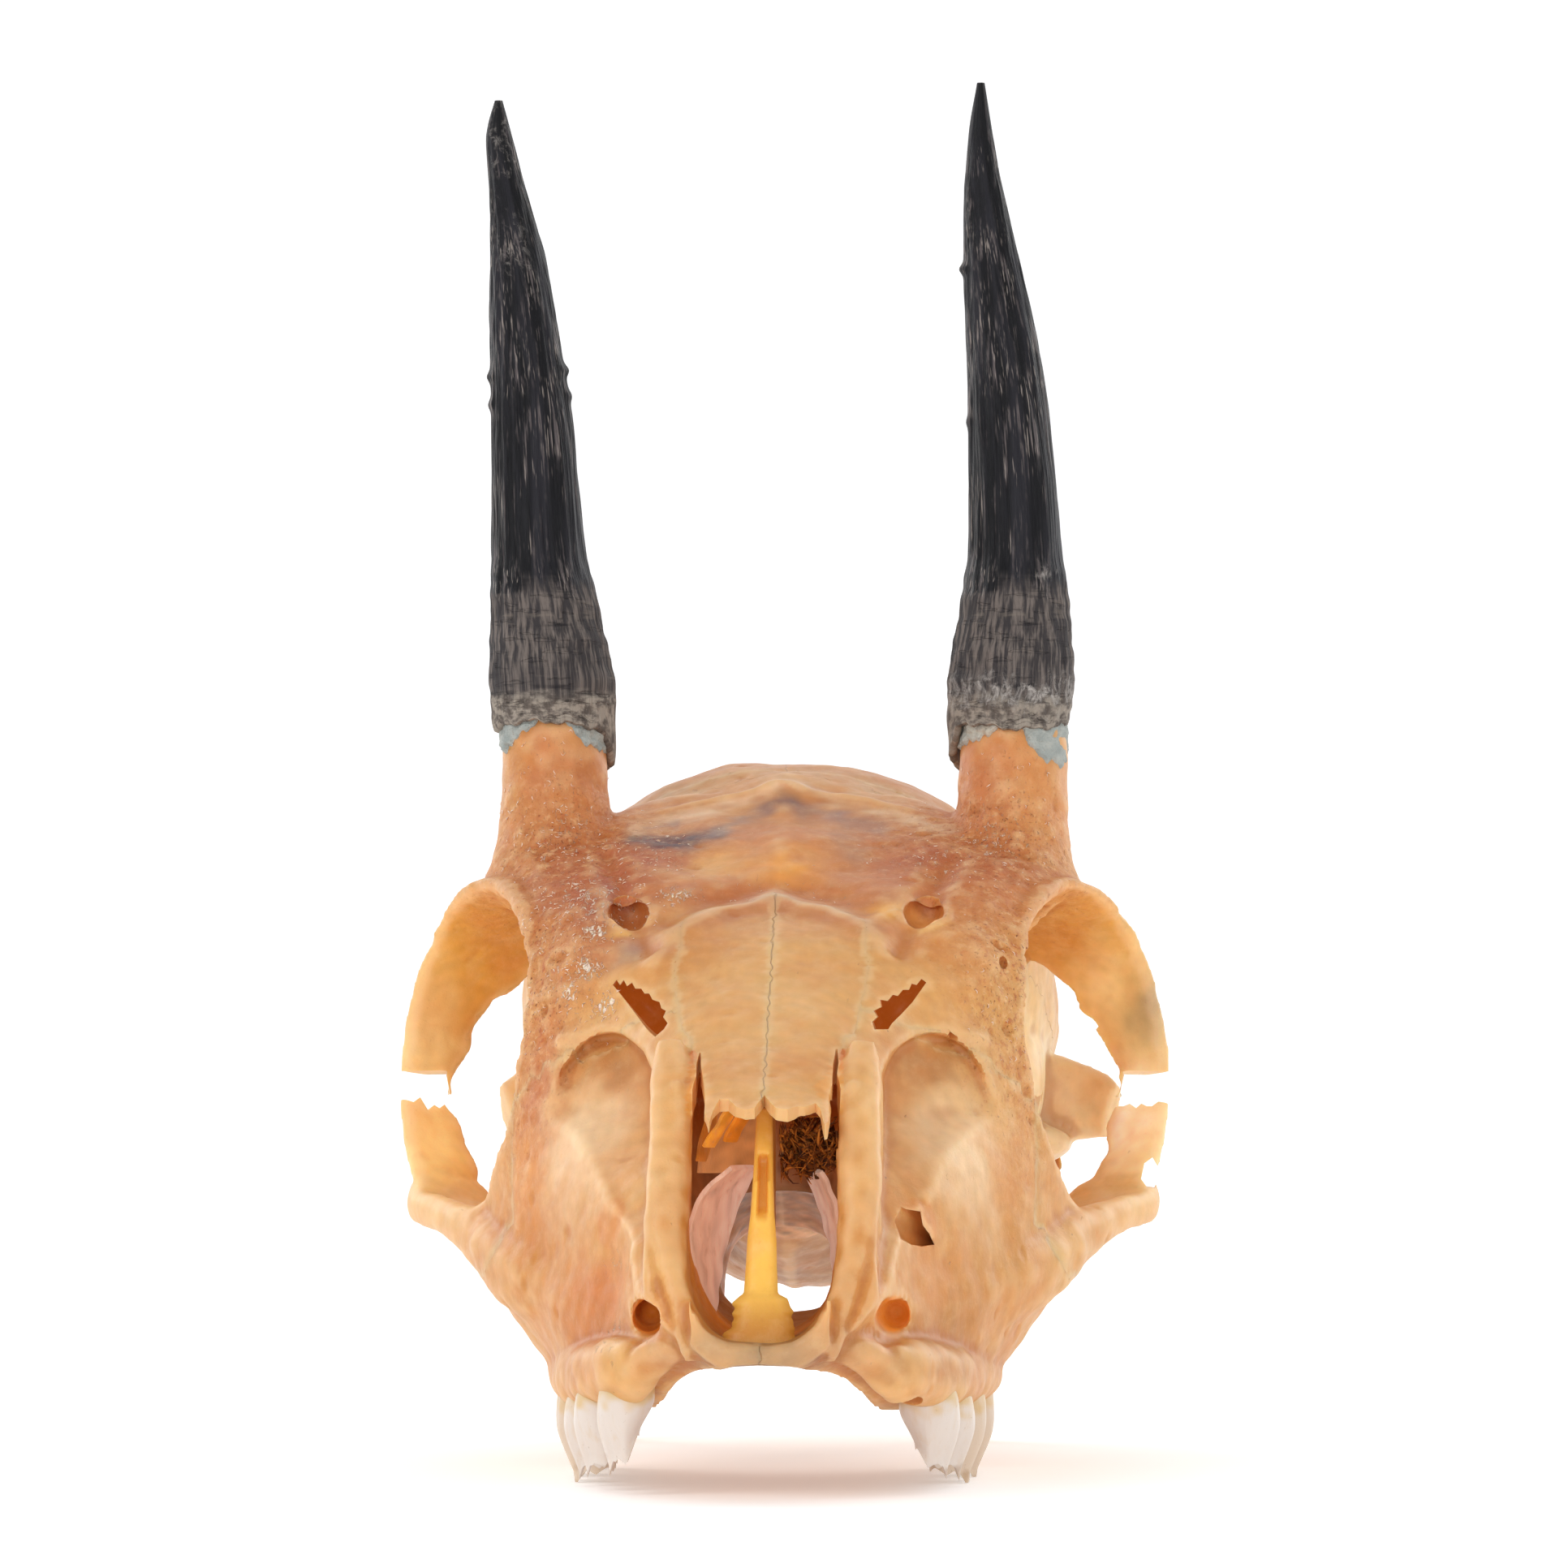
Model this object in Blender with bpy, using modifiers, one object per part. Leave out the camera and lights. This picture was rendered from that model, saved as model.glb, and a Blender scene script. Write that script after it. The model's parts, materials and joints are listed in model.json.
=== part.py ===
# Skull of a steenbok ram without its lower jaw and premaxillae, life-size, resting as on a table.
# +Z is up, the nose points along -Y, and +X is the animal's left. All sizes are in metres.
# The midpoint between the two orbits is at y = 0, and the floor that the skull rests on is z = 0.
import math

import bmesh
import bpy
import numpy as np
from mathutils import Matrix, Vector

MM = 0.001
SUTURE = 0.3 * MM  # open line between two neighbouring bones
FINE = 0.5 * MM  # grain of the bone while its pieces are melted together
BONE_TRIANGLES = 7600  # of the whole bony skull, before it is parted at its sutures

# Head from snout to forehead, one row a station: place, half widths low, middle and high,
# underside, roof, and squareness of the lower and upper halves of the cross-section.
HEAD = np.array(
    [
        [-52.0, 5.2, 7.4, 8.2, 10.6, 26.4, 3.0, 3.2],
        [-45.0, 7.4, 9.4, 9.0, 9.6, 29.6, 3.2, 3.0],
        [-38.0, 11.4, 11.2, 9.4, 7.6, 33.0, 4.0, 2.8],
        [-31.0, 14.2, 14.4, 10.6, 6.6, 36.6, 6.0, 2.7],
        [-23.0, 16.6, 18.4, 13.2, 6.2, 41.2, 8.0, 3.0],
        [-15.0, 18.0, 22.2, 18.6, 6.0, 45.4, 8.0, 4.0],
        [-7.0, 18.6, 24.8, 22.6, 6.0, 49.0, 8.0, 6.5],
        [0.0, 18.2, 24.4, 24.8, 6.6, 51.8, 7.0, 7.0],
        [6.0, 15.0, 19.0, 24.6, 12.0, 54.4, 4.0, 5.0],
        [13.0, 8.0, 14.0, 21.0, 24.0, 57.2, 3.0, 3.0],
    ]
)
MIDDLE = 0.32  # how far up the middle half width lies

# Braincase: place, half width, underside and roof.
BRAINCASE = MM * np.array(
    [
        [2.0, 11.0, 27.0, 50.0],
        [9.0, 17.0, 24.0, 55.6],
        [16.0, 21.0, 22.0, 58.6],
        [24.0, 22.9, 20.5, 59.3],
        [33.0, 23.2, 19.0, 56.6],
        [41.0, 21.0, 18.0, 50.8],
        [47.0, 17.0, 18.0, 44.5],
        [50.5, 11.0, 20.0, 38.0],
    ]
)
BRAINCASE_SQUARE = 2.08

# Orbits: a ring of bone round each eye socket, turned a little forward and in at the top.
ORBIT = Vector((26.3, 0.0, 34.9)) * MM
ORBIT_TURN = math.radians(26.0)
ORBIT_LEAN = math.radians(6.0)
ORBIT_RIM = 14.8 * MM  # along the head
ORBIT_TALL = 14.2 * MM
SOCKET = (19.5 * MM, 14.1 * MM, 13.5 * MM)  # deep, fore and aft, high
RIM_THICK = 1.7 * MM
# Angle round the ring from its front over its top, and how deep the band of bone is there.
BAND_ANGLE = np.radians([40.0, 70.0, 100.0, 130.0, 155.0, 180.0, 215.0, 245.0, 280.0, 315.0, 345.0])
BAND_DEPTH = MM * np.array([4.0, 8.0, 12.5, 11.5, 8.0, 5.2, 5.6, 7.2, 7.0, 6.0, 4.0])
BREAK_ANGLE = math.radians(196.5)  # the bar behind each eye is snapped here
BREAK_GAP = 0.85 * MM
BREAK_TEETH = 0.55 * MM

# Horn cores and the sheaths on them: sideways, backward and upward places, and radii.
CORE = MM * np.array(
    [
        [17.8, 6.0, 48.4, 7.8],
        [18.2, 6.6, 50.0, 6.8],
        [18.9, 7.6, 52.4, 5.5],
        [19.4, 8.6, 55.2, 4.75],
        [19.5, 10.0, 58.0, 4.25],
        [19.5, 10.6, 63.0, 4.1],
    ]
)
CORE_TOP = 60.6 * MM  # where the core ends and the putty begins
RAGGED = 0.7 * MM
SHEATH_HEIGHT = MM * np.array([62.6, 65.7, 72.0, 76.3, 83.0, 90.4, 97.5, 104.5, 110.5, 115.0])
SHEATH_RADIUS = MM * np.array([5.1, 5.2, 4.6, 4.1, 3.8, 3.45, 2.9, 2.25, 1.4, 0.75])
SHEATH_BACK = MM * np.array([10.6, 11.4, 12.8, 13.9, 15.6, 17.2, 18.4, 19.2, 19.6, 19.8])
SHEATH_SIDE = {  # the sheaths were glued back a little crooked
    "right": MM * np.array([-19.5, -19.7, -20.4, -21.0, -21.5, -22.0, -22.7, -23.5, -24.4, -25.0]),
    "left": MM * np.array([19.3, 19.4, 19.7, 19.8, 19.6, 19.1, 18.4, 17.6, 17.0, 16.8]),
}
TIP_HEIGHT = {"right": 117.2 * MM, "left": 118.6 * MM}
SHEATH_WALL = 0.55 * MM
SOCKET_DEPTH = 3.4 * MM

# Upper cheek teeth, front to back: place along the row, out from the middle, length, width,
# height of the gum line and of the biting tips, and number of cusps.
TEETH = [
    (-37.4, 10.9, 5.7, 4.2, 7.6, 1.7, 1),
    (-31.6, 12.7, 6.0, 4.5, 7.0, 1.1, 1),
    (-25.6, 13.6, 6.2, 5.4, 6.6, 0.7, 1),
    (-18.4, 14.2, 8.3, 6.4, 6.3, -0.2, 2),
    (-9.9, 14.6, 8.8, 6.8, 6.2, -0.3, 2),
    (-1.4, 14.4, 8.2, 6.2, 6.4, 0.1, 2),
]
LOST_TOOTH = ("left", 0)
TOOTH_ROOT = 2.6 * MM

# Nose: profile of the nose bones, their half width and thickness, and the broken edges.
NASAL_PROFILE = MM * np.array([[-42.0, 30.0], [-34.0, 34.6], [-24.0, 40.4], [-12.0, 46.8]])
NASAL_HALF_WIDTH = MM * np.array([5.2, 5.6, 8.0, 8.6])
NASAL_EDGE = MM * np.array(
    [
        [0.0, -40.6],
        [0.9, -41.8],
        [1.9, -42.2],
        [2.8, -41.6],
        [3.5, -40.9],
        [4.2, -41.6],
        [4.8, -43.2],
        [5.7, -40.8],
    ]
)
SNOUT_EDGE = MM * np.array([
    [-30.0, 40.0],
    [-36.4, 33.2],
    [-40.2, 27.0],
    [-46.0, 18.0],
    [-50.5, 11.0],
    [-52.6, 6.0],
])


# Nasal passage: place, half width, floor and roof.
NOSE_PASSAGE = MM * np.array(
    [
        [-62.0, 5.7, 12.0, 19.0],
        [-52.0, 5.7, 12.2, 24.4],
        [-46.0, 5.8, 12.3, 28.0],
        [-40.0, 6.0, 12.4, 30.8],
        [-34.0, 6.0, 12.5, 33.6],
        [-28.0, 6.2, 12.6, 36.2],
        [-22.0, 6.6, 12.6, 39.0],
        [-12.0, 6.6, 16.0, 43.4],
        [-8.0, 4.4, 22.0, 39.0],
    ]
)
# Hollow of the scent gland: outward place and height of its overhanging upper rim.
GLAND_RIM = MM * np.array(
    [
        [9.2, 33.2],
        [9.9, 34.8],
        [11.2, 36.0],
        [12.6, 36.6],
        [14.0, 36.5],
        [15.6, 35.6],
        [17.0, 33.8],
        [18.6, 30.0],
    ]
)
GLAND_FOOT = 16.0 * MM
# Bar of bone along each side of the nose opening: its path, half width and half depth.
PILLAR = MM * np.array(
    [
        [7.7, -31.2, 35.6, 1.3, 0.9],
        [7.6, -33.9, 32.8, 1.85, 1.5],
        [7.45, -37.8, 28.4, 1.95, 2.0],
        [7.6, -41.6, 22.4, 1.75, 2.0],
        [7.15, -44.2, 18.6, 1.35, 1.6],
        [6.2, -46.6, 14.8, 1.15, 1.2],
        [4.8, -48.4, 11.6, 1.2, 1.1],
    ]
)
# Swollen edge in which the cheek teeth stand: its path, half width and half height.
GUM = MM * np.array(
    [
        [10.2, -42.4, 11.6, 0.9, 1.0],
        [10.8, -39.6, 10.3, 2.2, 2.3],
        [11.4, -36.4, 9.9, 2.6, 2.6],
        [12.9, -31.6, 9.4, 2.9, 2.7],
        [13.6, -25.6, 9.0, 3.3, 2.8],
        [14.2, -18.4, 8.8, 3.8, 2.8],
        [14.6, -9.9, 8.8, 4.0, 2.8],
        [14.3, -0.5, 9.2, 3.6, 2.6],
        [13.8, 4.6, 10.0, 1.8, 1.4],
    ]
)
# Jagged slits between the nose bones and the eyes, seen from the front.
SLIT = {
    "left": MM * np.array([
        [12.6, 40.6],
        [11.3, 40.8],
        [10.2, 39.9],
        [8.9, 38.9],
        [8.4, 37.9],
        [8.6, 36.9],
        [9.6, 36.6],
        [11.1, 39.0],
    ]),
    "right": MM * np.array([
        [-12.7, 40.3],
        [-11.4, 40.6],
        [-10.1, 39.6],
        [-8.9, 38.8],
        [-8.3, 37.4],
        [-9.3, 36.2],
        [-10.1, 37.2],
        [-11.3, 38.5],
    ]),
}

SIDES = {"left": 1.0, "right": -1.0}


def clear_scene():
    for obj in list(bpy.data.objects):
        bpy.data.objects.remove(obj, do_unlink=True)


def collection(name):
    made = bpy.data.collections.new(name)
    bpy.context.scene.collection.children.link(made)
    return made


def material(name, colour, roughness):
    made = bpy.data.materials.new(name)
    made.use_nodes = True
    shader = made.node_tree.nodes["Principled BSDF"]
    shader.inputs["Base Color"].default_value = (*colour, 1.0)
    shader.inputs["Roughness"].default_value = roughness
    return made


def smooth_through(knots, values, at):
    """Smooth curve through the values at the knots: cubic pieces with centred slopes."""
    knots, values, at = np.asarray(knots, float), np.asarray(values, float), np.atleast_1d(at)
    slopes = np.gradient(values, knots, axis=0)
    i = np.clip(np.searchsorted(knots, at) - 1, 0, len(knots) - 2)
    step = knots[i + 1] - knots[i]
    t = np.clip((at - knots[i]) / step, 0.0, 1.0)
    if values.ndim > 1:
        step, t = step[:, None], t[:, None]
    return (
        (2 * t**3 - 3 * t**2 + 1) * values[i]
        + (t**3 - 2 * t**2 + t) * step * slopes[i]
        + (3 * t**2 - 2 * t**3) * values[i + 1]
        + (t**3 - t**2) * step * slopes[i + 1]
    )


def put(name, mesh, where):
    """A mesh made an object of that name, with its faces pointing out."""
    form = bmesh.new()
    form.from_mesh(mesh)
    bmesh.ops.recalc_face_normals(form, faces=form.faces)
    form.to_mesh(mesh)
    form.free()
    obj = bpy.data.objects.new(name, mesh)
    where.objects.link(obj)
    return obj


def loft(name, rings, where):
    """Closed body through rings of equally many points, with a flat cap at each end."""
    rings = np.asarray(rings, float)
    count, around = rings.shape[:2]
    row = np.arange(count - 1)[:, None] * around
    here = np.arange(around)[None, :]
    after = (here + 1) % around
    sides = np.stack([row + here, row + after, row + around + after, row + around + here], axis=-1)
    faces = sides.reshape(-1, 4).tolist()
    faces.append(list(range(around)))
    faces.append(list(range((count - 1) * around, count * around)))
    mesh = bpy.data.meshes.new(name)
    mesh.from_pydata(rings.reshape(-1, 3).tolist(), [], faces)
    return put(name, mesh, where)


def rounded(around, square):
    """Unit points round a superellipse, from a circle at squareness 2 towards a box."""
    angle = np.linspace(0.0, 2 * math.pi, around, endpoint=False)
    c, s = np.cos(angle), np.sin(angle)
    return np.sign(c) * np.abs(c) ** (2 / square), np.sign(s) * np.abs(s) ** (2 / square)


def sweep(name, path, wide, half_width, half_thick, where, around=16, square=2.2):
    """Body carried along a path: rings across it, wide along the given directions."""
    path, wide = np.asarray(path, float), np.asarray(wide, float)
    along = np.gradient(path, axis=0)
    along /= np.linalg.norm(along, axis=1, keepdims=True)
    wide = wide - (wide * along).sum(1, keepdims=True) * along
    wide /= np.linalg.norm(wide, axis=1, keepdims=True)
    thin = np.cross(along, wide)
    u, v = rounded(around, square)
    half_width = np.broadcast_to(half_width, len(path))[:, None, None]
    half_thick = np.broadcast_to(half_thick, len(path))[:, None, None]
    rings = (
        path[:, None, :]
        + wide[:, None, :] * u[None, :, None] * half_width
        + thin[:, None, :] * v[None, :, None] * half_thick
    )
    return loft(name, rings, where)


def ball(name, centre, radii, where, turn=None, around=40):
    """Ellipsoid from a sphere, turned by a rotation matrix where one is given."""
    form = bmesh.new()
    bmesh.ops.create_uvsphere(form, u_segments=around, v_segments=around // 2, radius=1.0)
    place = Matrix.Translation(centre) @ (turn or Matrix.Identity(4)) @ Matrix.Diagonal((*radii, 1.0))
    bmesh.ops.transform(form, matrix=place, verts=form.verts)
    mesh = bpy.data.meshes.new(name)
    form.to_mesh(mesh)
    form.free()
    return put(name, mesh, where)


def block(name, low, high, where):
    """Box from its lowest to its highest corner."""
    low, high = Vector(low), Vector(high)
    form = bmesh.new()
    bmesh.ops.create_cube(form, size=1.0)
    place = Matrix.Translation((low + high) / 2) @ Matrix.Diagonal((*(high - low), 1.0))
    bmesh.ops.transform(form, matrix=place, verts=form.verts)
    mesh = bpy.data.meshes.new(name)
    form.to_mesh(mesh)
    form.free()
    return put(name, mesh, where)


def side_prism(name, outline, low_x, high_x, where):
    """Outline in the side view, in y and z, made solid from one sideways place to another."""
    outline = np.asarray(outline, float)
    rings = [np.column_stack([np.full(len(outline), x), outline]) for x in (low_x, high_x)]
    return loft(name, rings, where)


def evaluated_copy(obj):
    """The object with its modifiers applied, in its place."""
    graph = bpy.context.evaluated_depsgraph_get()
    mesh = bpy.data.meshes.new_from_object(obj.evaluated_get(graph))
    mesh.transform(obj.matrix_world)
    return mesh


def apply_modifiers(obj):
    old = obj.data
    obj.data = evaluated_copy(obj)
    obj.modifiers.clear()
    obj.matrix_world = Matrix.Identity(4)
    bpy.data.meshes.remove(old)


def combine(obj, others, operation, solver="MANIFOLD"):
    """One Boolean with a whole collection, applied, after which the collection's objects go."""
    cut = obj.modifiers.new(operation.title(), "BOOLEAN")
    cut.operation = operation
    cut.solver = solver
    cut.operand_type = "COLLECTION"
    cut.collection = others
    apply_modifiers(obj)
    for other in list(others.objects):
        bpy.data.objects.remove(other, do_unlink=True)
    bpy.data.collections.remove(others)


def melt(obj, grain, rounds):
    """Melts overlapping forms into one skin and softens the creases between them."""
    remesh = obj.modifiers.new("Melt", "REMESH")
    remesh.mode = "VOXEL"
    remesh.voxel_size = grain
    soften = obj.modifiers.new("Soften", "SMOOTH")
    soften.factor = 0.5
    soften.iterations = rounds
    apply_modifiers(obj)


def thin_out(obj, triangles):
    """Fewer, larger faces where the surface is flat."""
    count = sum(len(face.vertices) - 2 for face in obj.data.polygons)
    fewer = obj.modifiers.new("Fewer", "DECIMATE")
    fewer.ratio = min(1.0, triangles / count)
    fewer.use_collapse_triangulate = True
    apply_modifiers(obj)


def tidy(obj):
    """Merges the tiniest edges and splits faces into triangles, as far as the surface stays closed."""
    for reach in (0.03 * MM, 0.02 * MM, 0.012 * MM, 0.006 * MM, 0.0):
        for way in ("BEAUTY", "EAR_CLIP"):
            form = bmesh.new()
            form.from_mesh(obj.data)
            bmesh.ops.triangulate(form, faces=form.faces, quad_method="SHORT_EDGE", ngon_method=way)
            if reach:
                bmesh.ops.remove_doubles(form, verts=form.verts, dist=reach)
                bmesh.ops.dissolve_degenerate(form, edges=form.edges, dist=reach)
                bmesh.ops.triangulate(form, faces=form.faces, quad_method="SHORT_EDGE", ngon_method=way)
            closed = all(part.is_manifold for part in [*form.edges, *form.verts])
            if closed:
                form.to_mesh(obj.data)
            form.free()
            if closed:
                return


def keep_largest(obj):
    """Keeps only the largest closed surface of an object."""
    form = bmesh.new()
    form.from_mesh(obj.data)
    unseen = set(form.verts)
    pieces = []
    while unseen:
        stack = [unseen.pop()]
        piece = []
        while stack:
            vert = stack.pop()
            piece.append(vert)
            for edge in vert.link_edges:
                other = edge.other_vert(vert)
                if other in unseen:
                    unseen.remove(other)
                    stack.append(other)
        pieces.append(piece)
    pieces.sort(key=len)
    loose = [vert for piece in pieces[:-1] for vert in piece]
    bmesh.ops.delete(form, geom=loose, context="VERTS")
    form.to_mesh(obj.data)
    form.free()


def head_rings(around=72, steps=60):
    """Cross-sections of the head, widest at the cheeks and flat over the forehead."""
    places = np.linspace(HEAD[0, 0], HEAD[-1, 0], steps)
    sizes = smooth_through(HEAD[:, 0], HEAD[:, 1:], places).T[:, :, None]
    low, middle, high, floor, roof, under, over = sizes
    angle = np.linspace(0.0, 2 * math.pi, around, endpoint=False)[None, :]
    c, s = np.cos(angle), np.sin(angle)
    square = np.where(s > 0, over, under)
    u = np.sign(c) * np.abs(c) ** (2 / square)
    v = np.sign(s) * np.abs(s) ** (2 / square)
    share = (v + 1) / 2
    rise = np.clip(share / MIDDLE, 0, 1)
    below = low + (middle - low) * rise**2 * (3 - 2 * rise)
    above = (high - middle) * np.clip((share - MIDDLE) / (1 - MIDDLE), 0, 1)
    x = (below + above) * u
    z = floor + (roof - floor) * share
    y = np.broadcast_to(places[:, None], x.shape)
    return MM * np.stack([x, y, z], axis=-1)


def braincase_rings(around=64, steps=44):
    """Cross-sections of the braincase, closed to a small ring at the back."""
    places = np.linspace(BRAINCASE[0, 0], BRAINCASE[-1, 0], steps)
    half, floor, roof = smooth_through(BRAINCASE[:, 0], BRAINCASE[:, 1:], places).T
    u, v = rounded(around, BRAINCASE_SQUARE)
    x = half[:, None] * u[None, :]
    z = ((floor + roof) / 2)[:, None] + ((roof - floor) / 2)[:, None] * v[None, :]
    y = np.broadcast_to(places[:, None], x.shape)
    return np.stack([x, y, z], axis=-1)


def orbit_frame(side):
    """Centre of an orbit with its forward, upward and outward directions."""
    centre = Vector((ORBIT.x * side, ORBIT.y, ORBIT.z))
    forward = Vector((-side * math.sin(ORBIT_TURN), -math.cos(ORBIT_TURN), 0.0))
    up = Vector((-side * math.sin(ORBIT_LEAN), 0.0, math.cos(ORBIT_LEAN)))
    up = (up - forward * up.dot(forward)).normalized()
    out = up.cross(forward).normalized() * side
    if out.x * side < 0:
        out = -out
    return centre, forward, up, out


def rim_points(side, angles):
    centre, forward, up, _ = orbit_frame(side)
    c, s = np.cos(angles)[:, None], np.sin(angles)[:, None]
    return np.array(centre) + ORBIT_RIM * c * np.array(forward) + ORBIT_TALL * s * np.array(up)


def orbit_band(side, where, name):
    """Ring of bone round the eye socket, a curved plate deepest under the horn."""
    angles = np.linspace(BAND_ANGLE[0], BAND_ANGLE[-1], 54)
    depth = smooth_through(BAND_ANGLE, BAND_DEPTH, angles)
    out = np.array(orbit_frame(side)[3])
    path = rim_points(side, angles) - out * (depth / 2)[:, None]
    wide = np.repeat(out[None, :], len(angles), axis=0)
    return sweep(name, path, wide, depth / 2, RIM_THICK / 2, where, around=20, square=3.0)


def break_sheet(side, where):
    """Jagged sheet across the bar behind an eye, which leaves the two broken ends apart."""
    centre, forward, up, out = orbit_frame(side)
    across = np.linspace(-3.0, 9.0, 13) * MM  # into the head from the rim
    here = np.array(math.cos(BREAK_ANGLE) * forward + math.sin(BREAK_ANGLE) * up)
    along = np.array(math.cos(BREAK_ANGLE) * up - math.sin(BREAK_ANGLE) * forward)
    middle = rim_points(side, np.array([BREAK_ANGLE]))[0]
    count = np.arange(len(across))
    teeth = BREAK_TEETH * np.where(count % 2, 1.0, -1.0) * (0.65 + 0.35 * np.sin(1.7 * count + side))
    corners = [(-4, -1), (4, -1), (4, 1), (-4, 1)]
    rings = np.array(
        [
            [
                middle - np.array(out) * a + here * r * MM + along * (t + BREAK_GAP / 2 * way)
                for r, way in corners
            ]
            for a, t in zip(across, teeth)
        ]
    )
    return loft(f"break_{side:+.0f}", rings, where)


def cheek_and_arch(side, where):
    """Ledge of the cheekbone below the eye, and the stumps of its broken arch."""
    cheek = MM * np.array(
        [
            [30.9, 12.5, 23.2],
            [31.0, 8.0, 21.9],
            [28.4, 2.0, 21.2],
            [25.2, -4.0, 19.8],
            [21.4, -12.0, 17.4],
            [16.4, -21.0, 16.0],
        ]
    )
    knots = np.arange(len(cheek))
    at = np.linspace(0, knots[-1], 30)
    path = smooth_through(knots, cheek, at) * np.array([side, 1, 1])
    tall = smooth_through(knots, MM * np.array([1.5, 1.5, 1.5, 2.2, 3.4, 4.2]), at)
    thick = smooth_through(knots, MM * np.array([0.8, 0.9, 1.1, 1.6, 2.2, 2.4]), at)
    up = np.repeat([[0.0, 0.0, 1.0]], len(at), axis=0)
    sweep(f"cheek_{side:+.0f}", path, up, tall, thick, where)
    # The arch has snapped off short: the animal's left side keeps more of its root.
    reach = 28.2 if side > 0 else 24.6
    root = MM * np.array([
        [17.0, 26.5, 31.0],
        [21.0, 26.5, 30.8],
        [reach - 2.0, 25.6, 30.2],
        [reach, 24.4, 29.6],
    ])
    up = np.repeat([[0.0, 0.0, 1.0]], len(root), axis=0)
    tall = MM * np.array([4.6, 4.2, 3.2, 2.4])
    thick = MM * np.array([1.9, 1.7, 1.3, 1.0])
    sweep(f"root_{side:+.0f}", root * np.array([side, 1, 1]), up, tall, thick, where)
    ball(f"joint_{side:+.0f}", MM * Vector((20.0 * side, 24.0, 26.8)), MM * Vector((4.8, 5.0, 2.0)), where)


def skull_base(where):
    """Underside of the braincase: the bar between the ears, ear capsules, condyles and processes."""
    bar = MM * np.array([
        [0.0, 4.0, 27.0],
        [0.0, 16.0, 23.6],
        [0.0, 28.0, 19.6],
        [0.0, 40.0, 17.0],
        [0.0, 48.0, 17.4],
    ])
    wide = np.repeat([[1.0, 0.0, 0.0]], len(bar), axis=0)
    half = MM * np.array([4.0, 4.6, 5.6, 7.4, 8.0])
    sweep("base_bar", bar, wide, half, MM * np.array([3.0, 3.2, 3.4, 3.2, 2.6]), where)
    crest = MM * np.array([
        [0.0, 40.0, 50.4],
        [9.0, 42.4, 48.0],
        [16.0, 42.6, 41.6],
        [19.8, 40.6, 34.0],
        [20.0, 37.0, 28.0],
    ])
    knots = np.arange(len(crest))
    at = np.linspace(0, knots[-1], 24)
    arc = smooth_through(knots, crest, at)
    both = np.vstack([arc[:0:-1] * [-1, 1, 1], arc])
    outward = both - MM * np.array([0.0, 36.0, 34.0])
    sweep("nape_crest", both, outward, 2.6 * MM, 1.2 * MM, where)
    for side in SIDES.values():
        tag = f"{side:+.0f}"
        lean = Matrix.Rotation(math.radians(-14 * side), 4, "Z")
        lean = lean @ Matrix.Rotation(math.radians(-18), 4, "X")
        centre = MM * Vector((11.4 * side, 29.0, 17.2))
        ball("capsule" + tag, centre, MM * Vector((5.0, 8.2, 6.6)), where, lean)
        ball("ear_tube" + tag, MM * Vector((19.0 * side, 32.0, 25.4)), MM * Vector((5.0, 3.0, 3.0)), where)
        tilt = Matrix.Rotation(math.radians(-24 * side), 4, "Y") @ Matrix.Rotation(math.radians(16), 4, "X")
        centre = MM * Vector((6.6 * side, 49.0, 20.6))
        ball("condyle" + tag, centre, MM * Vector((4.0, 4.4, 6.4)), where, tilt)
        process = MM * np.array([
            [18.4, 40.0, 32.0],
            [18.0, 42.6, 20.0],
            [16.8, 43.8, 10.0],
            [16.1, 43.4, 3.0],
            [15.9, 43.2, -2.0],
        ])
        path = process * np.array([side, 1, 1])
        fore = np.repeat([[0.0, 1.0, 0.0]], len(path), axis=0)
        deep = MM * np.array([4.6, 3.8, 2.6, 1.9, 1.6])
        sweep("process" + tag, path, fore, deep, MM * np.array([3.0, 2.2, 1.6, 1.35, 1.2]), where)
        plate = MM * np.array([[6.8, 0.0, 16.4], [6.6, 5.0, 17.0], [6.2, 11.0, 19.6], [5.8, 16.0, 22.0]])
        path = plate * np.array([side, 1, 1])
        up = np.repeat([[0.0, 0.0, 1.0]], len(path), axis=0)
        sweep("throat_plate" + tag, path, up, MM * np.array([5.8, 6.4, 5.6, 3.0]), 0.6 * MM, where)


def horn_cores(where):
    """Bony cores that flare out of the forehead behind each eye."""
    heights = np.linspace(CORE[0, 2], CORE[-1, 2], 22)
    side_place, back, radius = smooth_through(CORE[:, 2], CORE[:, [0, 1, 3]], heights).T
    angle = np.linspace(0, 2 * math.pi, 32, endpoint=False)[None, :]
    for side in SIDES.values():
        x = side * side_place[:, None] + radius[:, None] * np.cos(angle)
        y = back[:, None] + radius[:, None] * 1.06 * np.sin(angle)
        z = np.broadcast_to(heights[:, None], x.shape)
        loft(f"core_{side:+.0f}", np.stack([x, y, z], axis=-1), where)


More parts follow.
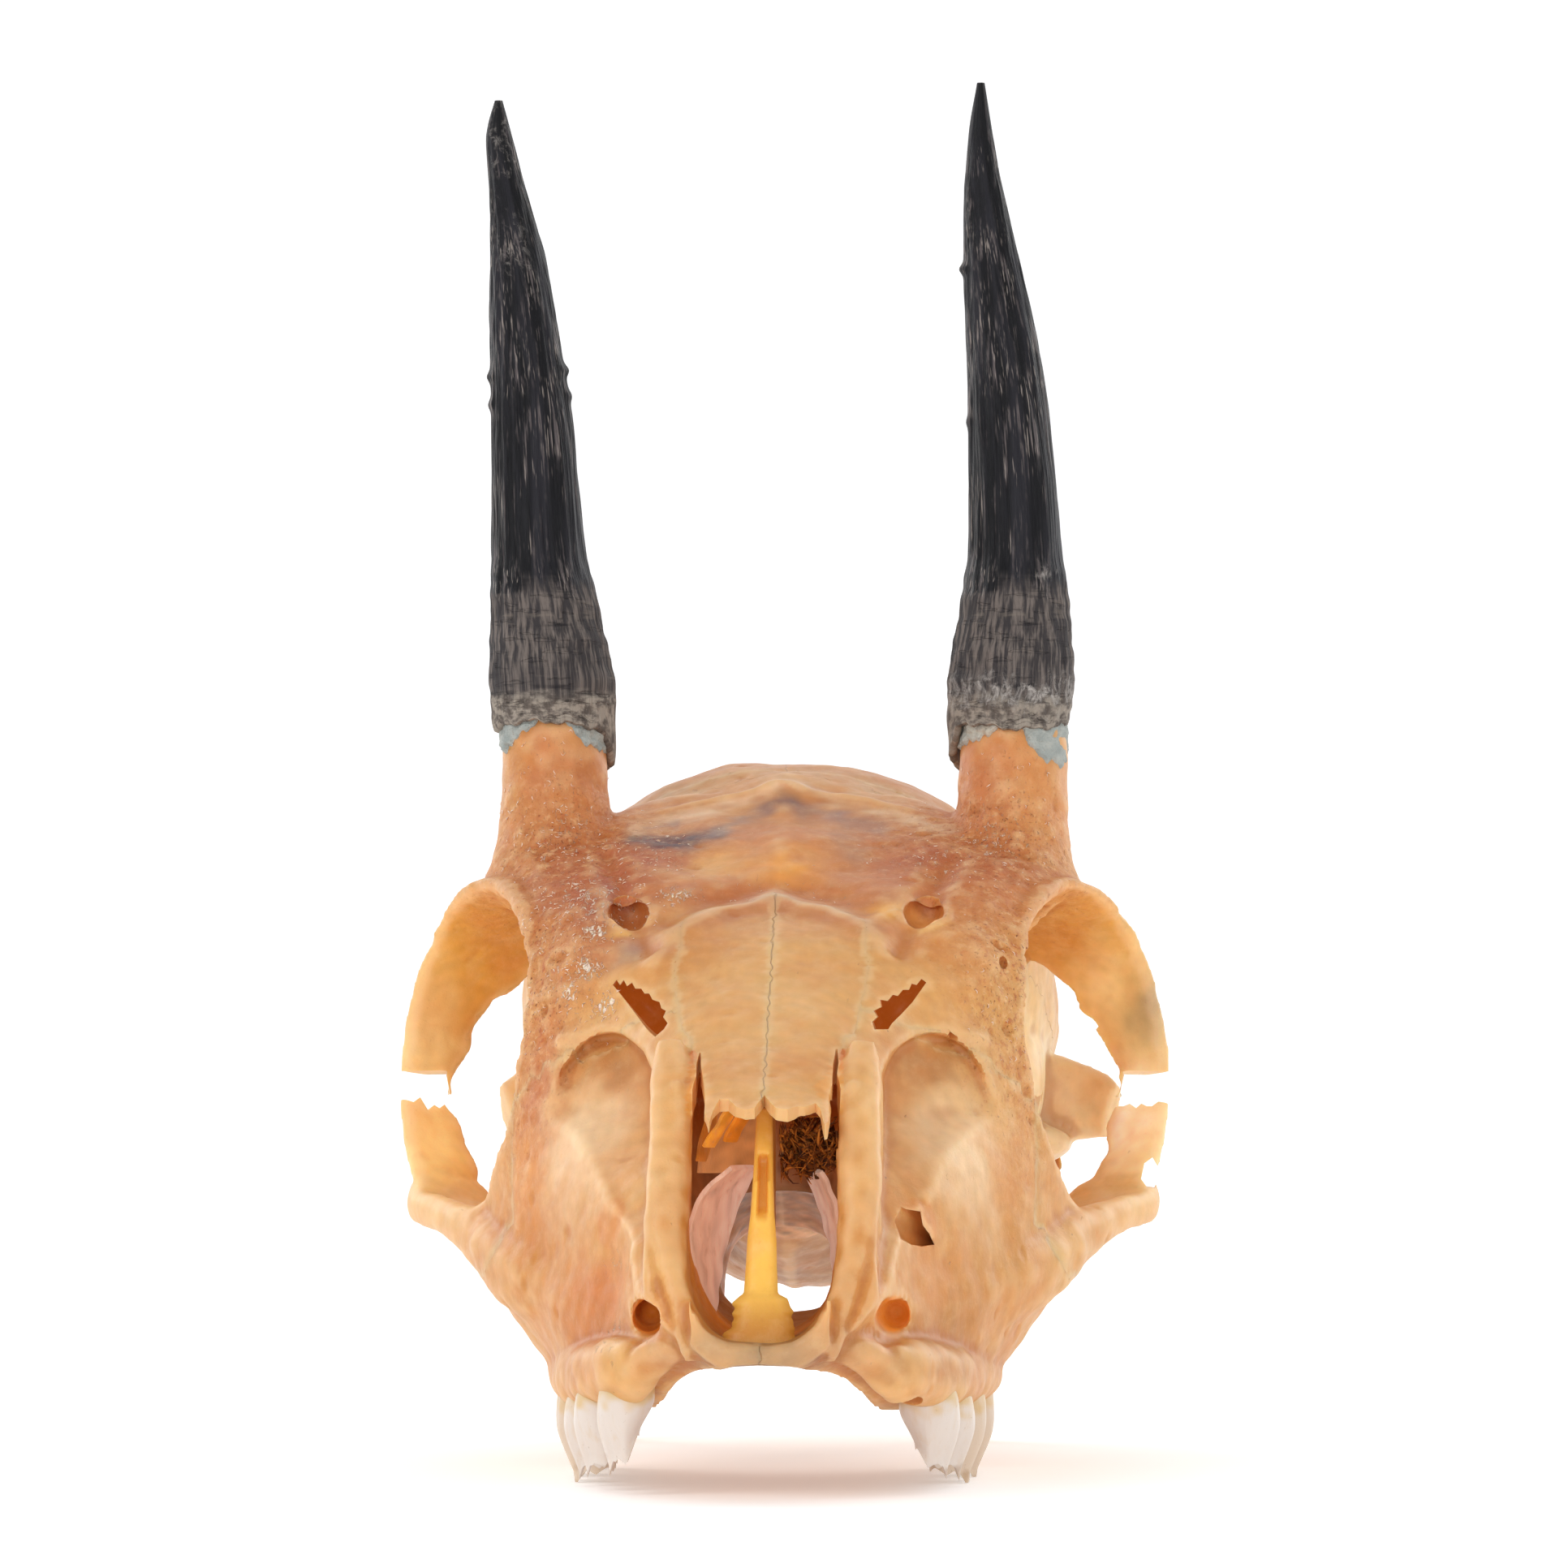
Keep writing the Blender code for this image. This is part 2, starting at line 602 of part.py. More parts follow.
def cavity_cutters(where):
    """Eye sockets, nasal passage, throat, palate vault, gland hollows and the snout's open end."""
    for side in SIDES.values():
        centre, forward, up, out = orbit_frame(side)
        turn = Matrix((out, forward, up)).transposed().to_4x4()
        ball(f"socket_{side:+.0f}", centre + out * 1.5 * MM, SOCKET, where, turn)
        gland_hollow(side, where)
        low_x, high_x = sorted((5.4 * MM * side, 30 * MM * side))
        front = MM * np.array([[-70.0, 6.0], [-70.0, 60.0], [-30.0, 60.0]])
        side_prism(f"snout_end_{side:+.0f}", np.vstack([SNOUT_EDGE, front]), low_x, high_x, where)
    tunnel("nasal_chamber", NOSE_PASSAGE, 5.0, 2.6, where)
    vault = np.array(
        [
            [-62, 4.6, 4.0, 11.0],
            [-50, 5.2, 4.0, 11.0],
            [-40, 7.6, 2.0, 10.9],
            [-28, 9.0, 0.0, 11.0],
            [-12, 10.6, -2.0, 11.2],
            [2, 10.8, -4.0, 11.4],
            [10, 10.8, -4.0, 12.4],
        ]
    )
    tunnel("palate_vault", MM * vault, 2.4, 2.4, where)
    block("palate_end", MM * Vector((-6, -70, 2)), MM * Vector((6, -50.4, 21)), where)
    edge = np.vstack([NASAL_EDGE[::-1] * [-1, 1], NASAL_EDGE[1:], MM * np.array([
        [5.5, -60.0],
        [-5.5, -60.0],
    ])])
    rings = [np.column_stack([edge, np.full(len(edge), z)]) for z in (19 * MM, 50 * MM)]
    loft("nasal_end", rings, where)


def gland_hollow(side, where):
    """Cutter for the hollow before the eye, whose floor lies farther back higher up and inward."""
    steps = np.linspace(0.0, 1.0, 26)
    across, rise = np.meshgrid(steps, steps, indexing="ij")
    inner, outer = GLAND_RIM[0, 0], GLAND_RIM[-1, 0]
    x = inner + (outer - inner) * across
    top = smooth_through(GLAND_RIM[:, 0], GLAND_RIM[:, 1], x.ravel()).reshape(x.shape)
    z = GLAND_FOOT + (top - GLAND_FOOT) * rise
    bend = 30.0 * MM
    y = -26.0 * MM + 0.8 * (x - inner) - 1.3 * np.maximum(bend - z, 0.0) + 0.6 * np.maximum(z - bend, 0.0)
    floor = np.stack([side * x, y, z], axis=-1)
    front = floor.copy()
    front[..., 1] = -60.0 * MM
    loft(f"gland_{side:+.0f}", np.concatenate([floor, front[:, ::-1]], axis=1), where)


def bar_along(name, table, wide, side, square, where):
    """Bar swept through the rows of a table: place across, back and up, half width, half depth."""
    knots = np.arange(len(table))
    rows = smooth_through(knots, table, np.linspace(0, knots[-1], 34))
    path = rows[:, :3] * np.array([side, 1, 1])
    sweep(name, path, np.repeat([wide], len(path), axis=0), rows[:, 3], rows[:, 4], where, 20, square)


def tunnel(name, stations, square, under, where):
    """Passage through place, half width, floor and roof, with its own squareness above and below."""
    places = np.linspace(stations[0, 0], stations[-1, 0], 40)
    half, floor, roof = smooth_through(stations[:, 0], stations[:, 1:], places).T[:, :, None]
    angle = np.linspace(0.0, 2 * math.pi, 44, endpoint=False)[None, :]
    c, s = np.cos(angle), np.sin(angle)
    power = np.where(s > 0, square, under)
    x = half * np.sign(c) * np.abs(c) ** (2 / power)
    z = (floor + roof) / 2 + (roof - floor) / 2 * np.sign(s) * np.abs(s) ** (2 / power)
    y = np.broadcast_to(places[:, None], x.shape)
    return loft(name, np.stack([x, y, z], axis=-1), where)


def small_cutters(where):
    """Nerve holes, the slits beside the nose bones, the snapped bars and the hole for the cord."""
    for word, side in SIDES.items():
        tag = f"{side:+.0f}"
        rings = []
        for y, inward in ((-40.0 * MM, 0.0), (-19.5 * MM, 1.5 * MM)):
            outline = SLIT[word]
            across = outline[:, 0] - inward * side
            rings.append(np.column_stack([across, np.full(len(outline), y), outline[:, 1]]))
        loft("slit" + tag, rings, where)
        centre = MM * Vector((12.2 * side, -11.6, 46.8))
        ball("brow_hole" + tag, centre, MM * Vector((1.5, 2.6, 1.3)), where, None, 12)
        centre = MM * Vector((9.9 * side, -40.2, 14.6))
        ball("cheek_hole" + tag, centre, MM * Vector((1.6, 4.4, 1.4)), where, None, 12)
        break_sheet(side, where)
    form = bmesh.new()
    wide, narrow, deep = 6.4 * MM, 5.4 * MM, 14 * MM
    bmesh.ops.create_cone(form, cap_ends=True, segments=32, radius1=wide, radius2=narrow, depth=deep)
    place = Matrix.Translation(MM * Vector((0, 51.0, 25.5))) @ Matrix.Rotation(math.radians(102), 4, "X")
    bmesh.ops.transform(form, matrix=place, verts=form.verts)
    mesh = bpy.data.meshes.new("cord_hole")
    form.to_mesh(mesh)
    form.free()
    put("cord_hole", mesh, where)


def core_seam(side, x, y):
    """Height of the ragged seam between a horn core and the putty on it."""
    dx, dy = x - CORE[-1, 0] * side, y - CORE[-2, 1]
    angle = np.arctan2(dy, dx)
    reach = np.minimum(np.hypot(dx, dy) / CORE[-1, 3], 1.0)
    return CORE_TOP + RAGGED * reach * np.sin(3 * angle + side) * np.cos(angle + 0.4)


def seam_rings(side, middle, radius, lift, top):
    """Rings over the seam from near its middle out to a radius, then straight up to a height."""
    angle = np.linspace(0, 2 * math.pi, 28, endpoint=False)
    rings = []
    for share in (0.06, 0.4, 0.75, 1.0):
        x = middle[0] + share * radius * np.cos(angle)
        y = middle[1] + share * radius * np.sin(angle)
        rings.append(np.column_stack([x, y, core_seam(side, x, y) + lift]))
    rings.append(rings[-1] * [1, 1, 0] + [0, 0, top])
    return rings


def whole_skull(where):
    """The bony skull in one piece, before it is parted at the sutures."""
    masses = collection("masses")
    loft("braincase_mass", braincase_rings(), masses)
    for side in SIDES.values():
        centre = MM * Vector((14.4 * side, 22.0, 33.0))
        ball(f"temple_{side:+.0f}", centre, MM * Vector((8.0, 11.0, 11.0)), masses)
    skull = loft("skull", head_rings(), where)
    combine(skull, masses, "UNION")
    cavities = collection("cavities")
    cavity_cutters(cavities)
    combine(skull, cavities, "DIFFERENCE")
    struts = collection("struts")
    for side in SIDES.values():
        orbit_band(side, struts, f"band_{side:+.0f}")
        cheek_and_arch(side, struts)
        bar_along(f"pillar_{side:+.0f}", PILLAR, (side, 0.12, 0.0), side, 3.2, struts)
        bar_along(f"gum_{side:+.0f}", GUM, (1.0, 0.0, 0.0), side, 2.2, struts)
    skull_base(struts)
    horn_cores(struts)
    combine(skull, struts, "UNION")
    throat = collection("throat")
    passage = np.array(
        [
            [-24, 6.0, 12.5, 23.0],
            [-8, 5.8, 12.7, 23.4],
            [3, 5.2, 12.0, 23.0],
            [10, 4.8, 6.0, 20.0],
            [16, 4.6, 2.0, 17.0],
        ]
    )
    tunnel("throat_passage", MM * passage, 3.0, 3.0, throat)
    for side in SIDES.values():
        middle = (CORE[-1, 0] * side, CORE[-2, 1])
        loft(f"core_end_{side:+.0f}", seam_rings(side, middle, 9 * MM, 0.0, 80 * MM), throat)
    combine(skull, throat, "DIFFERENCE")
    melt(skull, FINE, 4)
    keep_largest(skull)
    thin_out(skull, BONE_TRIANGLES)
    holes = collection("holes")
    small_cutters(holes)
    combine(skull, holes, "DIFFERENCE")
    return skull


def nasal_region(side, grow, where, name):
    """Block of space that holds one nose bone, with its rear end running to a point."""
    inner = SUTURE / 2 - grow
    places = np.linspace(-60 * MM, -14 * MM + grow, 12)
    width = smooth_through(NASAL_PROFILE[:, 0], NASAL_HALF_WIDTH, places) + grow
    outline = [(inner, -60 * MM)] + [(w, y) for y, w in zip(places, width)]
    outline.append((inner, -10.5 * MM + 2.0 * grow))
    slope = (NASAL_PROFILE[-1, 1] - NASAL_PROFILE[0, 1]) / (NASAL_PROFILE[-1, 0] - NASAL_PROFILE[0, 0])
    rings = []
    for lift in (-1.9 * MM - grow, 10 * MM):
        base = NASAL_PROFILE[0, 1] + lift
        rings.append([(side * x, y, base + slope * (y - NASAL_PROFILE[0, 0])) for x, y in outline])
    return loft(name, rings, where)


def jugal_region(side, grow, where, name):
    """Block of space that holds a cheekbone: outward of the tooth-bearing bone, below the snapped bar."""
    outline = MM * np.array([
        [21.4, 31.0],
        [21.4, 21.0],
        [24.0, 17.0],
        [34.0, 12.0],
        [50.0, 12.0],
        [50.0, 33.0],
        [28.8, 33.0],
        [28.8, 31.0],
    ])
    outline = outline + grow * np.array([
        [-1, 1],
        [-1, 0],
        [-1, -1],
        [0, -1],
        [1, -1],
        [1, 1],
        [-1, 1],
        [-1, 1],
    ])
    rings = []
    for y in (-40 * MM, 20 * MM):
        rings.append(np.column_stack([side * outline[:, 0], np.full(len(outline), y), outline[:, 1]]))
    return loft(name, rings, where)


def part_bones(skull, where):
    """Parts the whole skull into its bones, each kept clear of the next by the suture."""
    half = SUTURE / 2
    wide, top, bottom, front, back = 60 * MM, 90 * MM, -10 * MM, -80 * MM, 80 * MM
    brow = MM * np.array([[-34.0, 42.0], [-22.0, 36.9], [-13.0, 31.0], [13.0, 31.0]])
    shut = MM * np.array([[15.0, 31.0], [19.0, 90.0]])
    frontal = np.vstack([brow + [0, half], shut + [[-half, half], [-half, 0]], [[-34 * MM, top]]])
    bar_end = MM * np.array([[6.0, 29.0], [16.0, 29.0], [16.0, 34.0], [6.0, 34.0]])
    rear = 13.0 * MM
    face = np.vstack(
        [
            [[front, bottom], [rear - half, bottom], [rear - half, 31 * MM - half]],
            brow[-2::-1] - [0, half],
            [[front, 42 * MM]],
        ]
    )
    case = np.array([
        [rear + half, bottom],
        [back, bottom],
        [back, top],
        [19 * MM + half, top],
        [15 * MM + half, 31 * MM],
        [rear + half, 31 * MM],
    ])
    bones = {}

    def bone(name, prisms, taken, kept=None):
        made = bpy.data.objects.new(name, skull.data.copy())
        where.objects.link(made)
        keep, more = collection("keep"), collection("more")
        if kept:
            kept[0](kept[1], 0.0, keep, "keep_" + name)
        for outline, low_x, high_x in prisms:
            side_prism("keep_" + name, outline, low_x, high_x, more if keep.objects else keep)
        if more.objects:
            combine(keep.objects[0], more, "UNION")
        else:
            bpy.data.collections.remove(more)
        combine(made, keep, "INTERSECT")
        if taken:
            drop = collection("drop")
            for region, side in taken:
                region(side, SUTURE, drop, "drop_" + name)
            combine(made, drop, "DIFFERENCE")
        keep_largest(made)
        bones[name] = made

    both_nasals = [(nasal_region, 1.0), (nasal_region, -1.0)]
    both_jugals = [(jugal_region, 1.0), (jugal_region, -1.0)]
    brow_prisms = [(frontal, -wide, wide), (bar_end, 28.8 * MM, wide), (bar_end, -wide, -28.8 * MM)]
    bone("frontal", brow_prisms, both_nasals)
    bone("braincase", [(case, -wide, wide)], both_jugals)
    for word, side in SIDES.items():
        low_x, high_x = sorted((side * half, side * wide))
        bone("maxilla_" + word, [(face, low_x, high_x)], both_nasals + both_jugals)
        bone("jugal_" + word, [], None, (jugal_region, side))
        bone("nasal_" + word, [], None, (nasal_region, side))
    return bones


def tooth(name, place, out, length, width, gum, tip, cusps, side, where):
    """Cheek tooth: a ribbed column that ends in cusps, higher on the tongue side."""
    around = 20
    angle = np.linspace(0, 2 * math.pi, around, endpoint=False) + 0.07 * (1 + math.sin(place))
    c, s = np.cos(angle), np.sin(angle)
    levels = np.linspace(0, 1, 5)
    rings = []
    for level in levels:
        swell = 0.86 + 0.22 * math.sin(math.pi * min(1.0, level * 1.15)) - 0.10 * level
        waist = 1 - 0.10 * (1 + np.cos(2 * math.pi * cusps * (c + 1) / 2)) * (cusps > 1) * (np.abs(s) > 0.5)
        x = s * width / 2 * swell * waist * MM
        y = c * length / 2 * swell * MM
        cusp = 0.5 - 0.5 * np.cos(2 * math.pi * cusps * (c + 1) / 2)
        biting = (tip + 1.5 * (1 - cusp) + 1.3 * np.clip(-s, 0, 1)) * MM
        root = gum * MM + TOOTH_ROOT
        z = root + (biting - root) * level
        rings.append(np.column_stack([side * (out * MM + x), place * MM + y, z]))
    centre = np.column_stack(
        [np.full(around, side * out * MM), np.full(around, place * MM), np.full(around, (tip + 2.6) * MM)]
    )
    rings.append(rings[-1] + (centre - rings[-1]) * [0.55, 0.55, 0.8])
    return loft(name, rings, where)


def worn_flat(obj):
    """Takes off what reaches below the floor, so that the tips end in small flats on it."""
    below = collection("below")
    block("below", MM * Vector((-80, -80, -20)), MM * Vector((80, 80, 0)), below)
    combine(obj, below, "DIFFERENCE")


def add_teeth(bones):
    for word, side in SIDES.items():
        row = collection("row_" + word)
        for number, sizes in enumerate(TEETH):
            if (word, number) == LOST_TOOTH:
                continue
            tooth(f"tooth_{word}_{number}", *sizes, side, row)
        combine(bones["maxilla_" + word], row, "UNION")
        worn_flat(bones["maxilla_" + word])
        keep_largest(bones["maxilla_" + word])


def vomer(where):
    """Thin upright wall of the nose, broken at the top, with a wider foot on the palate."""
    heights = MM * np.array([12.9, 14.4, 16.5, 21.0, 26.0, 30.0])
    half = MM * np.array([2.0, 1.5, 0.75, 0.6, 0.6, 0.6])
    front = MM * np.array([-49.0, -48.0, -46.6, -42.0, -38.0, -35.0])
    back = MM * np.array([-26.0, -24.0, -20.0, -16.0, -14.0, -14.0])
    rings = []
    u, v = rounded(16, 3.5)
    for z, w, y0, y1 in zip(heights, half, front, back):
        y = (y0 + y1) / 2 + v * (y1 - y0) / 2
        # The foot rises to the rear with the floor of the nose.
        lift = 0.014 * (y - front[0]) * max(0.0, (heights[3] - z) / (heights[3] - heights[0]))
        rings.append(np.column_stack([u * w, y, z + lift]))
    return loft("vomer", rings, where)


def turbinate(word, side, where):
    """Thin curled plate inside the nose, between its wall and the vomer."""
    heights = MM * np.array([14.0, 16.5, 20.0, 23.0, 25.6])
    front_x = MM * np.array([3.1, 4.6, 5.1, 4.7, 3.0])
    rear_x = MM * np.array([3.1, 4.3, 3.9, 2.8, 1.6])
    front, rear, half = -36.0 * MM, -22.0 * MM, 0.3 * MM
    at = np.linspace(heights[0], heights[-1], 9)
    rings = []
    for z, x0, x1 in zip(at, smooth_through(heights, front_x, at), smooth_through(heights, rear_x, at)):
        along = np.array([x1 - x0, rear - front]) / math.hypot(x1 - x0, rear - front)
        across = np.array([along[1], -along[0]]) * half
        corners = [(x0, front) + across, (x1, rear) + across, (x1, rear) - across, (x0, front) - across]
        rings.append([(side * x, y, z) for x, y in corners])
    return loft("turbinate_" + word, rings, where)


def sheath_rings(word, around, steps):
    """Cross-sections of a horn sheath from its rim to its tip."""
    heights = np.concatenate([np.linspace(SHEATH_HEIGHT[0], SHEATH_HEIGHT[-1], steps), [TIP_HEIGHT[word]]])
    tall = np.append(SHEATH_HEIGHT, TIP_HEIGHT[word])
    radius = smooth_through(tall, np.append(SHEATH_RADIUS, 0.2 * MM), heights)
    side = smooth_through(tall, np.append(SHEATH_SIDE[word], SHEATH_SIDE[word][-1]), heights)
    back = smooth_through(tall, np.append(SHEATH_BACK, SHEATH_BACK[-1]), heights)
    angle = np.linspace(0, 2 * math.pi, around, endpoint=False)
    x = side[:, None] + radius[:, None] * np.cos(angle)[None, :]
    y = back[:, None] + radius[:, None] * 1.06 * np.sin(angle)[None, :]
    z = np.broadcast_to(heights[:, None], x.shape).copy()
    return np.stack([x, y, z], axis=-1)


def horn_sheath(word, side, where):
    """Horn sheath with an uneven rim round a shallow socket."""
    around = 26
    rings = sheath_rings(word, around, 18)
    inward = -side * (rings[0, :, 0] - rings[0, :, 0].mean()) / SHEATH_RADIUS[0]
    flap = np.clip(inward, 0, 1) ** 3 * 3.6 * MM
    rings[0, :, 2] += 0.3 * MM * np.sin(np.arange(around) * 1.9) - flap
    middle = rings[0].mean(axis=0)
    rim = middle + (rings[0] - middle) * (1 - SHEATH_WALL / SHEATH_RADIUS[0])
    rim[:, 2] = rings[0, :, 2]
    roof = rim * [1, 1, 0] + [0, 0, SHEATH_HEIGHT[0] + SOCKET_DEPTH]
    return loft("horn_sheath_" + word, np.concatenate([[roof, rim], rings]), where)


def putty_plug(word, side, where):
    """Putty that holds the sheath on its core, with a ragged seam to the bone."""
    middle = sheath_rings(word, 26, 18)[0].mean(axis=0)
    radius = SHEATH_RADIUS[0] - SHEATH_WALL - SUTURE
    top = SHEATH_HEIGHT[0] + SOCKET_DEPTH - SUTURE
    return loft("putty_" + word, seam_rings(side, middle, radius, SUTURE, top), where)


def centre_on_floor(group):
    """Moves the whole skull so that the middle of its footprint is at the origin."""
    corners = []
    for obj in group.objects:
        corners.extend(obj.matrix_world @ Vector(corner) for corner in obj.bound_box)
    corners = np.array(corners)
    middle = (corners.min(axis=0) + corners.max(axis=0)) / 2
    shift = Matrix.Translation((-middle[0], -middle[1], 0.0))
    for obj in group.objects:
        obj.data.transform(shift)


def main():
    clear_scene()
    bones_in = collection("steenbok_skull")
    bone = material("bone", (0.78, 0.55, 0.32), 0.5)
    horn = material("horn", (0.03, 0.03, 0.035), 0.45)
    grey = material("putty", (0.55, 0.6, 0.58), 0.6)
    work = collection("work")
    skull = whole_skull(work)
    bones = part_bones(skull, bones_in)
    bpy.data.objects.remove(skull, do_unlink=True)
    add_teeth(bones)
    worn_flat(bones["braincase"])
    bones["vomer"] = vomer(bones_in)
    for word, side in SIDES.items():
        bones["turbinate_" + word] = turbinate(word, side, bones_in)
    for obj in bones.values():
        tidy(obj)
        obj.data.materials.clear()
        obj.data.materials.append(bone)
    for word, side in SIDES.items():
        horn_sheath(word, side, bones_in).data.materials.append(horn)
        putty_plug(word, side, bones_in).data.materials.append(grey)
    centre_on_floor(bones_in)


main()
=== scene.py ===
# Skull of a steenbok ram without its lower jaw, horn sheaths glued back on, resting on a pale table.
# Everything is drawn in millimetres, +X being the animal's left and -Y its nose, and moved to metres at the end.
import json
import math

import bmesh
import bpy
import numpy as np
from mathutils import Matrix, Vector

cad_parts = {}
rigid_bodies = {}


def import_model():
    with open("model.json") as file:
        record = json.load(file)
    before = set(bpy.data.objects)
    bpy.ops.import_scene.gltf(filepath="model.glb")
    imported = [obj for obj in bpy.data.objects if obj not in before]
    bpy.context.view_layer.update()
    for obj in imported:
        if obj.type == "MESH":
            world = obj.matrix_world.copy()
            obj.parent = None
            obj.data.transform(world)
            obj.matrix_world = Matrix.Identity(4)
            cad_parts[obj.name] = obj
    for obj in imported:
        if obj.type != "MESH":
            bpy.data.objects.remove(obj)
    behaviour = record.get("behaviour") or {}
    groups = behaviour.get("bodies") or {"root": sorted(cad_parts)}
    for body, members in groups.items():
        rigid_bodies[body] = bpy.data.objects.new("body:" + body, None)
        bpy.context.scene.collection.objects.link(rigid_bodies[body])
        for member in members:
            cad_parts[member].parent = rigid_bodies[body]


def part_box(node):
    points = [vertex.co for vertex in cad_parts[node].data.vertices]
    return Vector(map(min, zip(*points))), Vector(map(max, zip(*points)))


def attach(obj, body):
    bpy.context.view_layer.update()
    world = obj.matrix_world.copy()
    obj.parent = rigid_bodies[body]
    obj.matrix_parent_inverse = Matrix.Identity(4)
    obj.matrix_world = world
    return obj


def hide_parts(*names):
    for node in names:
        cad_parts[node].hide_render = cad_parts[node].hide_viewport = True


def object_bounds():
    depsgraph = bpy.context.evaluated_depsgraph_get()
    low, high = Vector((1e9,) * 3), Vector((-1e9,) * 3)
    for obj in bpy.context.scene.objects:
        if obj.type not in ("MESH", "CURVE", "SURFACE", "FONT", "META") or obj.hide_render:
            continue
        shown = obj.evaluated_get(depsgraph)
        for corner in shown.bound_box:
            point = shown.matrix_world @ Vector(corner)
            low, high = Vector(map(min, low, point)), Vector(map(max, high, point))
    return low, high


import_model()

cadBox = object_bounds()
sides = {"left": 1.0, "right": -1.0}
vomerBack = -49.0  # where the front foot of the vomer stands before the skull is centred
lift = Vector((0.0, (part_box("vomer")[0].y * 1000 - vomerBack), 0.0))
toMetres = Matrix.Scale(0.001, 4) @ Matrix.Translation(lift)
print("frame loaded, skull moved by", round(lift.y, 3), "mm")


# numbers into shapes

def smoothThrough(knots, values, at):
    # cubic pieces through the values, the slope at a knot being that between its neighbours
    knots, values, at = np.asarray(knots, float), np.asarray(values, float), np.atleast_1d(at)
    slopes = np.gradient(values, knots, axis=0)
    i = np.clip(np.searchsorted(knots, at) - 1, 0, len(knots) - 2)
    step = knots[i + 1] - knots[i]
    t = np.clip((at - knots[i]) / step, 0.0, 1.0)
    if values.ndim > 1:
        step, t = step[:, None], t[:, None]
    return (
        (2 * t**3 - 3 * t**2 + 1) * values[i]
        + (t**3 - 2 * t**2 + t) * step * slopes[i]
        + (3 * t**2 - 2 * t**3) * values[i + 1]
        + (t**3 - t**2) * step * slopes[i + 1]
    )


def fade(value, low, high):
    # 0 below low, 1 above high, an S curve between them
    t = np.clip((value - low) / (high - low), 0.0, 1.0)
    return t * t * (3 - 2 * t)


def bell(value, width):
    # 1 at zero, falling off as e to the minus squared distance in widths
    return np.exp(-((value / width) ** 2))


def blend(under, over, share):
    # straight mix of two colours, with a share for each point
    share = np.asarray(share)[..., None]
    return under * (1 - share) + over * share


def signedPower(wave, power):
    # the size of a wave raised to a power, its sign kept
    return np.sign(wave) * np.abs(wave) ** power


def roundAngles(count):
    # equal steps round a circle
    return np.linspace(0.0, 2 * math.pi, count, endpoint=False)


def wander(points, size, seed, waves=16):
    # sum of sine waves in random directions whose lengths lie round the size, about -1 to 1
    pick = np.random.default_rng(seed)
    heading = pick.normal(size=(waves, 3))
    heading /= np.linalg.norm(heading, axis=1, keepdims=True)
    pace = 2 * math.pi / (size * pick.uniform(0.7, 1.6, waves))
    phase = pick.uniform(0, 2 * math.pi, waves)
    return np.sin(points @ (heading * pace[:, None]).T + phase).sum(axis=-1) / math.sqrt(waves)


def wanderAlong(values, size, seed):
    # the same along one measure
    return wander(np.column_stack([values, values * 0, values * 0]), size, seed)


def shaken(points, size, seed, far):
    # each point moved by a random undulation of its own in each direction
    return points + np.stack([wander(points, size, seed + k) for k in range(3)], axis=-1) * far


def near(points, centre, radii):
    # bell round a centre: e to the minus squared distance, each axis counted in its own radius
    return np.exp(-(((points - np.array(centre)) / np.array(radii)) ** 2).sum(axis=-1))


def nearLine(points, line):
    # distance from each point to a bent line: the least over its straight pieces
    line = np.asarray(line, float)
    best = np.full(len(points), 1e9)
    for a, b in zip(line[:-1], line[1:]):
        step = b - a
        t = np.clip((points - a) @ step / (step @ step), 0, 1)
        best = np.minimum(best, np.linalg.norm(points - a - t[:, None] * step, axis=1))
    return best


def flips(both):
    # what x is multiplied by: both sides or the one given
    return (1, -1) if both else (1,)


def group(name):
    # a collection of cutting or joining forms
    made = bpy.data.collections.new(name)
    bpy.context.scene.collection.children.link(made)
    return made


def link(name, data, where=None):
    # a new object in the scene or in a group
    obj = bpy.data.objects.new(name, data)
    (where or bpy.context.scene.collection).objects.link(obj)
    return obj


def meshOf(name, form):
    # what a bmesh holds, as a mesh
    mesh = bpy.data.meshes.new(name)
    form.to_mesh(mesh)
    form.free()
    return mesh


def put(name, mesh, where=None):
    # a mesh becomes an object, with its faces turned outwards
    form = bmesh.new()
    form.from_mesh(mesh)
    bmesh.ops.recalc_face_normals(form, faces=form.faces)
    form.to_mesh(mesh)
    form.free()
    return link(name, mesh, where)


def ringBody(name, rings, where=None):
    # surface through rings of equally many points, joined row by row and capped at both ends
    rings = np.asarray(rings, float)
    count, around = rings.shape[:2]
    row = np.arange(count - 1)[:, None] * around
    here = np.arange(around)[None, :]
    after = (here + 1) % around
    walls = np.stack([row + here, row + after, row + around + after, row + around + here], axis=-1)
    faces = walls.reshape(-1, 4).tolist()
    faces.append(list(range(around))[::-1])
    faces.append(list(range((count - 1) * around, count * around)))
    mesh = bpy.data.meshes.new(name)
    mesh.from_pydata(rings.reshape(-1, 3).tolist(), [], faces)
    return put(name, mesh, where)


def rounded(around, square):
    # unit points round a superellipse: a circle at 2, nearer a box above it
    angle = roundAngles(around)
    return signedPower(np.cos(angle), 2 / square), signedPower(np.sin(angle), 2 / square)


